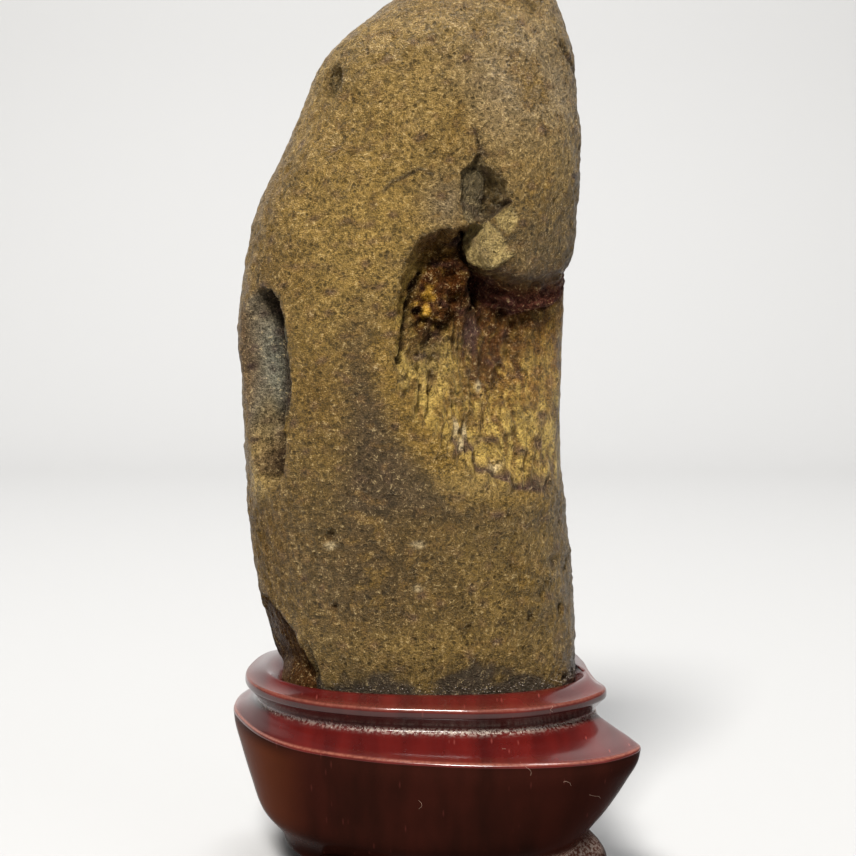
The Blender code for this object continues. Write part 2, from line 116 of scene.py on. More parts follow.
def make_backdrop():
    """A sheet whose profile is a straight floor, a quarter circle and a straight wall."""
    bend = np.linspace(0.0, pi / 2, BEND_POINTS)
    bend_depth = FLOOR_BACK + BEND_RADIUS * np.sin(bend)
    bend_height = BEND_RADIUS * (1.0 - np.cos(bend))
    depth = np.concatenate([[FLOOR_FRONT], bend_depth, bend_depth[-1:]])
    height = np.concatenate([[0.0], bend_height, [WALL_TOP]])
    x, y = np.meshgrid([-FLOOR_HALF_WIDTH, FLOOR_HALF_WIDTH], depth)
    z = np.repeat(height[:, None], 2, axis=1)
    points = np.stack([x, y, z], -1).reshape(-1, 3)
    faces = [(2 * k, 2 * k + 1, 2 * k + 3, 2 * k + 2) for k in range(len(depth) - 1)]
    mesh = bpy.data.meshes.new("backdrop")
    mesh.from_pydata(points.tolist(), [], faces)
    mesh.shade_smooth()
    mesh.materials.append(plain_finish("pale sheet", SHEET_COLOUR, SHEET_ROUGHNESS))
    backdrop = bpy.data.objects.new("backdrop", mesh)
    bpy.context.scene.collection.objects.link(backdrop)


make_backdrop()
print(f"floor {2 * FLOOR_HALF_WIDTH:.1f} m wide, bending up {FLOOR_BACK} m behind the stone")

# %% Lamps and the room's own light
# Each lamp's place and aim in metres, the side of its square, its power in watts and its colour.
LAMPS = {
    "ceiling": ((-0.28, -1.10, 1.45), (0.0, 0.0, 0.11), 0.40, 62.0, (1.0, 0.985, 0.955)),
    "window": ((0.60, -0.45, 0.50), (0.0, 0.0, 0.11), 0.50, 1.0, (0.97, 0.985, 1.0)),
    "wall": ((0.0, 0.30, 1.25), (0.0, 1.05, 0.45), 0.60, 16.0, (0.98, 0.99, 1.0)),
}
ROOM_LIGHT = (0.95, 0.98, 1.0)
ROOM_STRENGTH = 0.13


def add_lamp(name, place, aim, size, power, colour):
    """A square area lamp, turned towards its aim."""
    data = bpy.data.lights.new(name, "AREA")
    data.size = size
    data.energy = power
    data.color = colour
    lamp = bpy.data.objects.new(name, data)
    lamp.location = place
    away = Vector(place) - Vector(aim)
    lamp.rotation_euler = away.to_track_quat("Z", "Y").to_euler()
    bpy.context.scene.collection.objects.link(lamp)


for name, settings in LAMPS.items():
    add_lamp(name, *settings)
world = bpy.data.worlds.new("room")
bpy.context.scene.world = world
world.use_nodes = True
room = world.node_tree.nodes["Background"]
room.inputs["Color"].default_value = (*ROOM_LIGHT, 1.0)
room.inputs["Strength"].default_value = ROOM_STRENGTH
print("lamps:", ", ".join(LAMPS))

# %% [markdown]
# ## Curves, outlines and noise
#
# Everything below is built from a few small functions that take whole arrays. `through` draws a
# smooth curve through given numbers. `inside_distance` says how far a place lies inside a drawn
# outline, which turns an outline into a hollow with a wall of any width. `lumps` and `nearest_seed`
# are the two kinds of noise that stone needs: soft swellings, and scattered pores.

# %% Steps and bells
def smooth_step(amount):
    """0 to 1 with soft ends: three squares less two cubes."""
    amount = np.clip(amount, 0.0, 1.0)
    return amount * amount * (3.0 - 2.0 * amount)


def rising(value, start, over):
    """0 up to the start, then a smooth step up to 1 over the given length."""
    return smooth_step((value - start) / over)


def falling(value, end, over):
    """A smooth step down from 1, over the given length, that reaches 0 at the end."""
    return smooth_step((end - value) / over)


def stepped(place, stops):
    """Straight runs between stops, each a place and a value, and level beyond the outer two."""
    return np.interp(place, *zip(*stops))


def bell(value, middle, reach):
    """1 in the middle, falling as e to the minus square of the distance over the reach."""
    return np.exp(-(((value - middle) / reach) ** 2))


def spot(x, z, place, reach):
    """An oval spot: one bell across times one bell up."""
    return bell(x, place[0], reach[0]) * bell(z, place[1], reach[1])


def spots(x, z, dabs):
    """Several spots added up. Each is its strength, its place and its reach."""
    return sum(strength * spot(x, z, place, reach) for strength, place, reach in dabs)


print(f"a quarter, half and three quarters of the way up a step: {smooth_step([0.25, 0.5, 0.75]).round(2)}")

# %% Curves and outlines
FLAT_RISE = 1e-9


def through(knots, values, places):
    """A smooth curve through given values: a cubic Hermite with centred slopes."""
    knots = np.asarray(knots, float)
    values = np.asarray(values, float)
    slopes = np.gradient(values, knots, axis=0)
    span = np.clip(np.searchsorted(knots, places, side="right") - 1, 0, len(knots) - 2)
    spare = (1,) * (values.ndim - 1)
    width = (knots[span + 1] - knots[span]).reshape(*np.shape(places), *spare)
    u = (places - knots[span]).reshape(*np.shape(places), *spare) / width
    start = values[span] * (2 * u**3 - 3 * u**2 + 1) + slopes[span] * width * (u**3 - 2 * u**2 + u)
    end = values[span + 1] * (3 * u**2 - 2 * u**3) + slopes[span + 1] * width * (u**3 - u**2)
    return start + end


def line_distance(x, z, route):
    """Distance from each place to the nearest run of an open line."""
    start = np.array(route[:-1], float)
    step = np.array(route[1:], float) - start
    from_x = x[..., None] - start[:, 0]
    from_z = z[..., None] - start[:, 1]
    along = np.clip((from_x * step[:, 0] + from_z * step[:, 1]) / (step**2).sum(1), 0.0, 1.0)
    return np.hypot(from_x - along * step[:, 0], from_z - along * step[:, 1]).min(-1)


def inside_distance(x, z, outline):
    """Distance to the nearest edge of a closed outline, positive inside it.

    A place is inside if a line drawn from it to the right crosses the edges an odd number of times.
    """
    gap = line_distance(x, z, outline + outline[:1])
    start = np.array(outline)
    step = np.roll(start, -1, axis=0) - start
    from_z = z[..., None] - start[:, 1]
    above = start[:, 1] > z[..., None]
    crosses = above != (start[:, 1] + step[:, 1] > z[..., None])
    rise = np.where(step[:, 1] == 0.0, FLAT_RISE, step[:, 1])
    edge_x = start[:, 0] + from_z * step[:, 0] / rise
    inside = (crosses & (x[..., None] < edge_x)).sum(-1) % 2 == 1
    return np.where(inside, gap, -gap)


def share_in(x, z, outline, wall, lead=0.0):
    """1 inside an outline and 0 outside: a step as wide as the wall, begun a share of it outside."""
    return smooth_step(inside_distance(x, z, outline) / wall + lead)


def hollow(x, z, outline, depth, wall):
    """Depth of a hollow: none at its outline, full once the wall is passed."""
    return depth * share_in(x, z, outline, wall)


def groove_along(x, z, route, width, depth):
    """A groove along a line: deepest on the line, falling off as a bell of the given width."""
    return depth * bell(line_distance(x, z, route), 0.0, width)


def grooves(x, z, lines):
    """Depth of several grooves together. A line is its route, its width, its depth, and its stain."""
    return sum(groove_along(x, z, route, width, depth) for route, width, depth, *_ in lines)


square = [(0.0, 0.0), (2.0, 0.0), (2.0, 2.0), (0.0, 2.0)]
print("from the middle of a square of 2 to its edge:", inside_distance(np.ones(1), np.ones(1), square)[0])

# %% Noise
WAVES = 24
WAVE_SPREAD = (0.7, 1.3)
LATTICE_MIX = (127.1, 311.7, 74.7)
SINE_STRETCH = 43758.5453


def lumps(points, size, seed):
    """Soft random swellings about one size across: a sum of plane waves in seeded directions."""
    rng = np.random.default_rng(seed)
    directions = rng.normal(size=(WAVES, points.shape[-1]))
    directions /= np.linalg.norm(directions, axis=1)[:, None]
    directions *= rng.uniform(*WAVE_SPREAD, size=(WAVES, 1)) * 2 * pi / size
    phases = rng.uniform(0.0, 2 * pi, size=WAVES)
    return np.sin(points @ directions.T + phases).sum(-1) * np.sqrt(2.0 / WAVES)


def chance(cube, seed):
    """A number from 0 to 1 that belongs to each cube of a lattice: the fraction left by a large sine."""
    mixed_up = cube @ np.array(LATTICE_MIX) + seed
    return np.modf(np.abs(np.sin(mixed_up)) * SINE_STRETCH)[0]


def nearest_seed(points, size, seed):
    """Distance to the nearest of the seeds strewn one to a cube, and that seed's own number."""
    home = np.floor(points / size)
    nearest = np.full(points.shape[:-1], np.inf)
    own = np.zeros(points.shape[:-1])
    for step in product((-1, 0, 1), repeat=3):
        cube = home + step
        jitter = np.stack([chance(cube, seed + k) for k in (1, 2, 3)], -1)
        gap = np.linalg.norm((cube + jitter) * size - points, axis=-1)
        closer = gap < nearest
        nearest = np.where(closer, gap, nearest)
        own = np.where(closer, chance(cube, seed + 4), own)
    return nearest, own


walk = np.linspace([0.0, 0.0, 0.0], [100.0, 0.0, 0.0], 1000)
print(f"lumps along a line lie between {lumps(walk, 5.0, 1).min():.1f} and {lumps(walk, 5.0, 1).max():.1f}")

# %% [markdown]
# ## The stone's body
#
# Before it was hollowed, the stone was a bent, tapering pebble. That body is a stack of sections.
# Each is a superellipse between a left, a right, a front and a back, and all four run up the stone
# as smooth curves. A plain ellipse would look turned on a lathe; a power a little under one gives
# the flatter faces and tighter shoulders of a split and tumbled stone.

# %% Sections of the stone
# Height, left, right, front and back of each section, in millimetres.
STONE_SECTIONS = [
    (38.0, -1.0, -1.0, -1.5, -1.5),
    (38.0, -18.0, 17.0, -11.5, 9.0),
    (39.2, -29.0, 28.0, -18.5, 15.5),
    (44.0, -32.8, 32.0, -21.5, 18.8),
    (50.0, -35.3, 32.2, -22.5, 20.2),
    (60.0, -37.8, 31.2, -23.4, 22.0),
    (72.0, -39.6, 30.2, -24.2, 24.0),
    (84.0, -41.0, 29.2, -24.6, 25.4),
    (98.0, -41.5, 28.6, -24.8, 25.8),
    (112.0, -41.4, 28.6, -24.8, 24.6),
    (126.0, -41.2, 28.9, -24.6, 22.6),
    (137.0, -39.9, 29.2, -24.2, 20.6),
    (147.0, -37.0, 29.4, -23.6, 19.4),
    (157.0, -32.4, 29.8, -22.6, 19.0),
    (166.0, -28.4, 30.3, -21.4, 18.8),
    (174.0, -25.4, 30.6, -20.0, 18.0),
    (181.0, -21.5, 30.4, -18.2, 16.6),
    (187.0, -15.2, 28.8, -15.8, 14.6),
    (192.4, -7.8, 26.4, -12.8, 12.0),
    (196.8, -0.4, 23.4, -9.4, 8.8),
    (199.8, 6.0, 20.2, -5.4, 5.0),
    (200.8, 13.0, 13.0, -0.4, -0.4),
]
FULLNESS = 0.87
SIDE_ANGLE = radians(60)
SIDE_PACE = 0.6
SHORTEST = 1e-12


def fuller(wave):
    """A sine or cosine raised to the power of the fullness, with its sign kept."""
    return np.sign(wave) * np.abs(wave) ** FULLNESS


def stone_base(turn, rise):
    """Point on the body, and its place round the girth.

    turn is the angle from the front, positive to the right, and rise runs from 0 at the foot to 1
    at the crown. Across is the fuller sine and forward the fuller cosine. The girth equals x on the
    front and goes on growing evenly past the sides, so that an outline can be drawn round a corner.
    """
    sections = np.array(STONE_SECTIONS)
    climb, left_step, right_step = np.diff(sections[:, :3], axis=0).T
    steps = np.hypot(climb, 0.5 * np.hypot(left_step, right_step))
    knots = np.concatenate([[0.0], np.cumsum(steps)])
    values = through(knots / knots[-1], sections, rise)
    height, left, right, front, back = (values[..., k] for k in range(5))
    middle = 0.5 * (left + right)
    half_width = 0.5 * (right - left)
    across = fuller(np.sin(turn))
    depth = 0.5 * (front + back) - 0.5 * (back - front) * fuller(np.cos(turn))
    point = np.stack([middle + half_width * across, depth, height], -1)
    past = np.maximum(np.abs(turn) - SIDE_ANGLE, 0.0)
    beyond = np.sign(turn) * (fuller(np.sin(SIDE_ANGLE)) + SIDE_PACE * past)
    return point, middle + half_width * np.where(past > 0.0, beyond, across)


def outward(across, upward):
    """Unit normals from the two directions of a surface: their cross product, made one long."""
    normal = np.cross(across, upward)
    length = np.linalg.norm(normal, axis=-1)[..., None]
    return np.where(length > SHORTEST, normal / np.maximum(length, SHORTEST), 0.0)


section_heights = [section[0] for section in STONE_SECTIONS]
print(f"{len(STONE_SECTIONS)} sections from {section_heights[0]} to {section_heights[-1]} mm")

# %% [markdown]
# ## Hollows
#
# Each hollow is drawn as an outline in girth and height, as a carver would chalk it on the stone,
# and then sunk to a depth. The wall between the outline and the full depth may be steep, as under
# the lobe, or long and soft, as at the bottom of the scoop where water has licked the edge away.
# A Boolean cut would leave the same hard edge everywhere, so the depths are worked out instead.

# %% The lobe: its outline, its swell and its edge
LOBE = [
    (9.4, 162.0), (10.2, 158.0), (12.4, 154.6), (13.8, 152.2), (14.7, 149.8), (14.6, 147.2),
    (12.2, 145.9), (10.1, 143.2), (9.8, 139.4), (10.2, 137.0), (12.0, 133.8), (15.6, 131.3),
    (20.0, 130.6), (26.5, 132.6), (31.0, 135.6), (36.0, 139.5), (46.0, 146.0), (54.0, 156.0),
    (52.0, 172.0), (34.0, 186.0), (8.0, 184.0), (-2.0, 174.0),
]
LOBE_WALL = [(132.0, 3.0), (138.0, 0.9), (154.0, 0.9), (166.0, 11.0)]
SWELL = 4.8
SWELL_PLACE = (21.0, 151.0)
SWELL_REACH = (15.0, 20.0)
TUCK = 0.35
TUCK_REACH = 5.0


def lobe_share(x, z):
    """1 on the overhanging lobe and 0 off it. Its upper edge is a long soft slope, its lower a step."""
    return smooth_step(0.5 + 0.5 * inside_distance(x, z, LOBE) / stepped(z, LOBE_WALL))


print(f"the lobe's outline has {len(LOBE)} points")

# %% The scoop under the lobe, and what lies in it
SCOOP = [
    (7.8, 144.0), (2.1, 143.0), (-2.4, 141.4), (-4.9, 138.0), (-7.2, 132.5), (-8.9, 126.5),
    (-9.4, 119.0), (-8.3, 111.5), (-4.4, 103.4), (0.6, 97.6), (8.0, 90.4), (16.0, 87.2), (26.0, 86.6),
    (38.0, 90.0), (47.0, 98.0), (50.0, 115.0), (48.0, 132.0), (40.0, 146.0), (22.0, 148.0),
]
SCOOP_DEPTH = [(86.0, 2.2), (95.0, 4.2), (110.0, 5.8), (126.0, 6.6), (138.0, 6.8)]
SCOOP_WALL = [(122.0, 8.0), (136.0, 3.6)]
SCOOP_FADE_START = 14.0
SCOOP_FADE = 18.0
CRUST_RISE = 1.6
CRUST_PLACE = (2.4, 129.0)
CRUST_REACH = (5.5, 7.0)
CRUST_STEP = 4.0
CAVERN = [
    (7.6, 142.6), (9.4, 141.8), (10.4, 135.6), (13.4, 132.6), (16.8, 130.4), (16.0, 126.6),
    (12.6, 124.6), (10.0, 126.4), (8.6, 132.0), (7.0, 138.0),
]
CAVERN_DEPTH = 7.0
CAVERN_WALL = 2.2
LIP = [
    (10.6, 132.5), (19.0, 132.0), (27.0, 134.0), (34.0, 138.0), (33.0, 130.5), (27.0, 126.6),
    (19.0, 124.6), (14.2, 126.2),
]
LIP_RISE = 3.4
LIP_WALL = 2.0
LIP_END = 31.0
LIP_FADE = 6.0


def scoop_sink(x, z):
    """Depth of the scoop and the cavern, less the clay lip and the crust that stand in them."""
    scoop = hollow(x, z, SCOOP, stepped(z, SCOOP_DEPTH), stepped(z, SCOOP_WALL))
    scoop = scoop * (1.0 - rising(x, SCOOP_FADE_START, SCOOP_FADE))
    cavern = hollow(x, z, CAVERN, CAVERN_DEPTH, CAVERN_WALL)
    lip = hollow(x, z, LIP, LIP_RISE, LIP_WALL) * falling(x, LIP_END, LIP_FADE)
    crust = CRUST_RISE * spot(x, z, CRUST_PLACE, CRUST_REACH) * rising(scoop, 0.0, CRUST_STEP)
    return np.maximum(scoop + cavern - lip - crust, 0.0)


print(f"depth in the cavern {scoop_sink(np.array([11.0]), np.array([129.0]))[0]:.1f} mm")

# %% The cleft above the lobe's tip
CLEFT = [
    (9.8, 158.0), (10.8, 156.4), (13.0, 154.4), (14.4, 152.2), (15.3, 149.8), (15.1, 147.2),
    (12.6, 146.0), (10.0, 144.4), (8.2, 144.2), (6.9, 145.8), (6.2, 148.9), (6.1, 152.0),
    (6.4, 154.6), (8.0, 156.0),
]
CLEFT_LEAST = 0.9
CLEFT_SLOPE = 0.40
CLEFT_START = 6.4
CLEFT_REACH = 7.0
CLEFT_WALL = 0.9


def cleft_sink(x, z):
    """Depth of the cleft: it deepens evenly from its left edge to the lobe."""
    depth = CLEFT_LEAST + CLEFT_SLOPE * np.clip(x - CLEFT_START, 0.0, CLEFT_REACH)
    return hollow(x, z, CLEFT, depth, CLEFT_WALL)


print(f"depth in the cleft {cleft_sink(np.array([12.0]), np.array([150.0]))[0]:.1f} mm")

# %% The slot in the left side, with the narrow trench in its floor
SLOT = [
    (-37.4, 130.6), (-33.4, 130.6), (-31.4, 128.6), (-30.7, 125.5), (-29.6, 119.3), (-29.1, 113.3),
    (-29.0, 107.6), (-30.0, 101.4), (-30.2, 96.4), (-30.8, 91.6), (-32.6, 88.0), (-35.2, 88.0),
    (-37.2, 92.0), (-40.0, 98.0), (-44.0, 106.0), (-46.0, 116.0), (-43.0, 127.0),
]
SLOT_DEPTH = 6.0
SLOT_WALL = [(-40.0, 6.0), (-33.0, 1.2)]
SLOT_START = -46.0
SLOT_FADE = 11.0
SLOT_TRENCH = [
    (-36.6, 129.2), (-37.3, 125.8), (-36.7, 121.0), (-36.2, 115.5), (-36.0, 110.3), (-36.2, 106.0),
    (-37.2, 102.4),
]
LOW_TRENCH = [(-35.6, 98.6), (-36.0, 95.0), (-35.3, 91.2)]
# Route, width and depth of each trench, then the width and strength of the painted shade along it.
TRENCHES = [
    (SLOT_TRENCH, 1.4, 2.6, 1.1, 0.95),
    (LOW_TRENCH, 0.9, 1.6, 0.7, 0.8),
]


def slot_sink(x, z):
    """Depth of the slot, which runs out over the stone's left side, and of its trenches."""
    slot = hollow(x, z, SLOT, SLOT_DEPTH, stepped(x, SLOT_WALL)) * rising(x, SLOT_START, SLOT_FADE)
    return slot + grooves(x, z, TRENCHES)


print(f"depth in the slot {slot_sink(np.array([-35.0]), np.array([110.0]))[0]:.1f} mm")

# %% The pit near the crown, the groove at the foot and the hollow in the back
PIT = [
    (-23.0, 173.4), (-21.5, 176.4), (-19.4, 177.6), (-18.5, 176.0), (-18.8, 172.6), (-20.4, 170.4),
    (-22.4, 170.8),
]
PIT_DEPTH = 5.5
PIT_WALL = 1.1
GROOVE = [
    (-35.6, 64.0), (-32.2, 61.0), (-29.0, 57.6), (-27.2, 54.6), (-25.8, 52.0), (-24.6, 49.2),
    (-23.8, 45.2), (-23.6, 36.0), (-46.0, 36.0), (-46.0, 58.0), (-40.0, 64.0),
]
GROOVE_DEPTH = [(44.0, 4.4), (62.0, 1.7)]
GROOVE_WALL = 1.1
GROOVE_START = -47.0
GROOVE_FADE = 9.0
BACK_HOLLOW = [(62.0, 96.0), (76.0, 92.0), (88.0, 104.0), (90.0, 126.0), (80.0, 142.0), (68.0, 130.0)]
BACK_DEPTH = 3.0
BACK_WALL = 8.0


def groove_sink(x, z):
    """Depth of the groove at the foot, deeper towards the collar and running out to the left."""
    depth = stepped(z, GROOVE_DEPTH)
    return hollow(x, z, GROOVE, depth, GROOVE_WALL) * rising(x, GROOVE_START, GROOVE_FADE)


print(f"depth in the groove {groove_sink(np.array([-30.0]), np.array([50.0]))[0]:.1f} mm")

# %% Put the form together
# Size of the swellings, their height in front, how much more they rise behind, and their seed.
LUMPS = [(40.0, 0.3, 0.9, 3), (17.0, 0.16, 0.3, 5)]
FREE_FROM = 44.0
FREE_OVER = 5.0
BACK_GAIN = 1.2
BACK_LAG = 0.2
PROBE = 1e-3


def base_normal(turn, rise):
    """Normals of the body, from points a small probe to each side and below and above."""
    left_point = stone_base(turn - PROBE, rise)[0]
    right_point = stone_base(turn + PROBE, rise)[0]
    low_point = stone_base(turn, np.maximum(rise - PROBE, 0.0))[0]
    high_point = stone_base(turn, np.minimum(rise + PROBE, 1.0))[0]
    return outward(right_point - left_point, high_point - low_point)


def stone_form(turn, rise):
    """The stone's large form, with the girth and the height of each point on the body.

    Each point moves along the body's normal: out by the lobe's swell and by soft swellings, which
    are larger behind, and in by the hollows. The part of the scoop just under the lobe is also
    lifted a little, so that the lobe overhangs it. Inside the socket the stone stays plain.
    """
    point, x = stone_base(turn, rise)
    z = point[..., 2]
    lobe = lobe_share(x, z)
    free = rising(z, FREE_FROM, FREE_OVER)
    behind = smooth_step(-BACK_LAG - BACK_GAIN * np.cos(turn))
    rough = sum((front + more * behind) * lumps(point, size, seed) for size, front, more, seed in LUMPS)
    under_lobe = scoop_sink(x, z) * (1.0 - lobe)

    out = SWELL * spot(x, z, SWELL_PLACE, SWELL_REACH) * lobe + free * rough - under_lobe
    out -= cleft_sink(x, z) * (1.0 - lobe) + slot_sink(x, z) + groove_sink(x, z) * free
    out -= hollow(x, z, PIT, PIT_DEPTH, PIT_WALL) + hollow(x, z, BACK_HOLLOW, BACK_DEPTH, BACK_WALL)
    moved = point + base_normal(turn, rise) * out[..., None]
    beside_lobe = bell(np.minimum(inside_distance(x, z, LOBE), 0.0), 0.0, TUCK_REACH)
    moved[..., 2] += TUCK * under_lobe * beside_lobe * (1.0 - lobe)
    return moved, x, z


front_line = stone_form(np.zeros(9), np.linspace(0.0, 1.0, 9))[0]
print("depths down the middle of the front:", front_line[:, 1].round(1))

# %% [markdown]
# ## A grid that follows the relief
#
# Even steps in angle and height would crowd the crown and starve the steep walls, which then look
# torn. So a coarse trial surface is measured first, and the real grid is spread so that its steps
# are about equal on the finished stone. The front, and the cavern above all, get smaller steps.

# %% Spread the grid
STONE_ROWS = 330
STONE_COLUMNS = 300
TRIAL_STEPS = 361
# How much closer the rows lie between two heights, and over what length that sets in.
ROW_CROWDING = 0.7
CROWDED_FROM = 76.0
CROWDED_TO = 172.0
CROWDED_OVER = 12.0
FRONT_CROWDING = 1.6
FRONT_GAIN = 0.8
CAVERN_CROWDING = [(0.9, (10.0, 124.0), (22.0, 44.0))]
ROW_BLUR = 12
COLUMN_BLUR = 4


def evened(places, costs, count):
    """Places that share a running cost equally between them, line by line."""
    running = np.cumsum(costs, axis=1)
    running -= running[:, :1]
    running /= running[:, -1:]
    wanted = np.arange(count) / count
    return np.stack([np.interp(wanted, one, places) for one in running])


def blurred(lines, reach):
    """Each line mixed with its neighbours by a bell of weights, so that nearby lines stay alike."""
    weights = np.hanning(2 * reach + 3)[1:-1]
    weights /= weights.sum()
    padded = np.concatenate([lines[:1].repeat(reach, 0), lines, lines[-1:].repeat(reach, 0)])
    return sum(weight * padded[k:k + len(lines)] for k, weight in enumerate(weights))


def spread_rows(turn, rise):
    """Rises of the rows, column by column, from the climb between the rows of a trial surface."""
    trial, x, z = stone_form(*np.meshgrid(turn, rise))
    climb = np.linalg.norm(np.diff(trial, axis=0, append=trial[-1:]), axis=2)
    crowded = rising(z, CROWDED_FROM, CROWDED_OVER) * falling(z, CROWDED_TO, CROWDED_OVER)
    climb *= 1.0 + ROW_CROWDING * crowded
    climb = blurred(climb.T, ROW_BLUR)
    climb[-1] = climb[0] = 0.5 * (climb[0] + climb[-1])
    return evened(rise, climb, STONE_ROWS + 1)[:, 1:].T


def stone_grid():
    """Turns and rises of the grid: rows are spread up each column, then columns round each row."""
    turn = np.linspace(-pi, pi, TRIAL_STEPS)
    heights = spread_rows(turn, np.linspace(0.0, 1.0, TRIAL_STEPS))
    trial, x, z = stone_form(turn[None, :].repeat(STONE_ROWS, 0), heights)
    stride = np.linalg.norm(np.diff(trial, axis=1, append=trial[:, -1:]), axis=2)
    front = smooth_step(0.5 + FRONT_GAIN * np.cos(turn))
    stride *= 1.0 + FRONT_CROWDING * front + spots(x, z, CAVERN_CROWDING)
    turns = evened(turn, blurred(stride, COLUMN_BLUR), STONE_COLUMNS)
    rises = np.stack([np.interp(one, turn, height) for one, height in zip(turns, heights)])
    return turns, rises


form, x, z = stone_form(*stone_grid())
front_steps = np.linalg.norm(np.diff(form, axis=1), axis=2)[:, STONE_COLUMNS // 2]
print(f"stone grid {STONE_ROWS} by {STONE_COLUMNS}, about {np.median(front_steps):.2f} mm a step in front")

# %% [markdown]
# ## Fine relief
#
# The second pass moves the finished form along its own normals: by a few tenths of a millimetre on
# the worn skin, and by up to about two millimetres where the stone is broken. Water-worn skin has
# soft dimples in several sizes and scattered pores. Inside the scoop the stone broke along its
# bedding, so it is ribbed from top to bottom like old wood. The crust at the scoop's upper left is
# a mass of crumbs. Folds of hard clay hang under the lobe.

# %% Shares of each kind of surface
CRUMBLY = [(1.0, (2.8, 130.5), (6.0, 8.0)), (0.8, (-0.5, 123.0), (3.2, 5.0))]

lobe = lobe_share(x, z)
scoop = share_in(x, z, SCOOP, 3.4, 0.2) * (1.0 - lobe)
cleft = share_in(x, z, CLEFT, 1.6, 0.4) * (1.0 - lobe)
lip = share_in(x, z, LIP, 1.2, 0.5) * (1.0 - lobe)
slot = share_in(x, z, SLOT, 1.6, 0.2)
crust = smooth_step(1.5 * spots(x, z, CRUMBLY)) * scoop
worn = (1.0 - np.clip(scoop + cleft + lip, 0.0, 1.0)) * (1.0 - 0.6 * slot)
print(f"worn skin covers {worn.mean():.0%} of the grid, the scoop {scoop.mean():.0%}")

# %% Worn skin: dimples and pores
# Height, size and seed of the dimples.
DIMPLES = [(0.09, 11.0, 21), (0.06, 5.5, 22), (0.07, 2.8, 23), (0.05, 1.7, 24)]
PORE_SPACING = 3.6
PORE_SEED = 37.0
PORE_LEAST = 0.40
PORE_SPREAD = 1.0
PORE_POWER = 6
PORE_DEPTH = 1.1


def swellings(points, kinds):
    """Swellings of several kinds added up. Each is its height, its size and its seed."""
    return sum(height * lumps(points, size, seed) for height, size, seed in kinds)


def scattered_pores(points):
    """1 in the middle of scattered round pores and 0 between them, with the radius of each.

    A pore's radius grows with a high power of its own number, so a few are much larger than most.
    """
    gap, own = nearest_seed(points, PORE_SPACING, PORE_SEED)
    radius = PORE_LEAST + PORE_SPREAD * own**PORE_POWER
    return np.clip(1.0 - (gap / radius) ** 2, 0.0, 1.0), radius


pore, pore_radius = scattered_pores(form)
pitted = falling(z, 104.0, 24.0)
skin = swellings(form, DIMPLES) - PORE_DEPTH * pore_radius * pore * (0.35 + 0.65 * pitted)
print(f"skin relief from {skin.min():.1f} to {skin.max():.1f} mm")

# %% Broken stone: ribs, crumbs, facets and folds
RIB_LENGTH = 6.0
RIB_WANDER = 1.6
RIB_WANDER_SIZE = 19.0
WANDER_SEED_STEP = 50
RIB_GRAIN = [(0.16, 3.1, 64), (0.12, 1.6, 63)]
CRUMB_SPACING = 2.3
FACET_SPACING = 3.6
FACET_STRETCH = [1.0, 1.0, 0.6]
FOLD_SPACING = 3.4
SLOT_GRAIN = [(0.1, 2.6, 25)]


def fibres(x, z, width, seed):
    """Ribs that run up and down: swellings of the given width, drawn out upwards."""
    wander = RIB_WANDER * lumps(np.stack([x, z], -1), RIB_WANDER_SIZE, seed + WANDER_SEED_STEP)
    return lumps(np.stack([x + wander, z / RIB_LENGTH], -1), width, seed)


ribs = 0.42 * fibres(x, z, 4.2, 61) + 0.30 * fibres(x, z, 2.0, 62) + swellings(form, RIB_GRAIN)
ribs *= 1.0 - 0.85 * rising(x, 19.0, 8.0)
gap, own = nearest_seed(form, CRUMB_SPACING, 71.0)
crumbs = 1.5 * (0.5 - gap / CRUMB_SPACING) + 1.3 * (own - 0.5) + 0.7 * lumps(form, 4.5, 72)
gap, own = nearest_seed(form * FACET_STRETCH, FACET_SPACING, 81.0)
facets = 1.6 * (own - 0.5) + 0.7 * (0.5 - gap / FACET_SPACING)
wobble = 1.6 * lumps(np.stack([x, z], -1), 8.0, 91)
folds = np.sin(-2 * pi * inside_distance(x, z, LOBE) / FOLD_SPACING + wobble)
folds = 0.45 * folds * falling(x, LIP_END, LIP_FADE) + 0.2 * lumps(form, 2.0, 92)
print(f"ribs {np.abs(ribs).max():.1f} mm, crumbs {np.abs(crumbs).max():.1f} mm at most")

# %% Cracks, veins, holes and the chipped beak
CREASE = [(9.1, 163.2), (9.7, 160.6), (10.2, 158.2)]
JOINT = [(14.9, 148.4), (13.2, 146.9), (11.6, 145.6), (10.2, 144.4)]
CRACK = [(-2.3, 134.2), (-3.4, 130.6), (-4.1, 127.0), (-5.4, 122.6), (-6.3, 116.2)]
ARC_CRACK = [(-9.6, 150.4), (-8.2, 152.2), (-5.1, 153.7), (-2.2, 155.2), (0.5, 154.0)]
LOW_JOINT = [(-26.3, 55.2), (-24.9, 51.8), (-24.0, 48.4), (-23.4, 44.6)]
NICK = [(27.6, 181.6), (29.6, 179.0), (32.6, 176.4)]
VEIN = [
    (7.4, 100.8), (8.0, 98.4), (9.8, 95.6), (11.9, 93.0), (15.7, 91.8), (17.3, 90.0),
    (21.0, 88.8), (24.2, 88.0), (25.4, 89.6),
]
SIDE_VEIN = [(4.6, 99.4), (5.6, 97.2), (7.6, 96.8)]
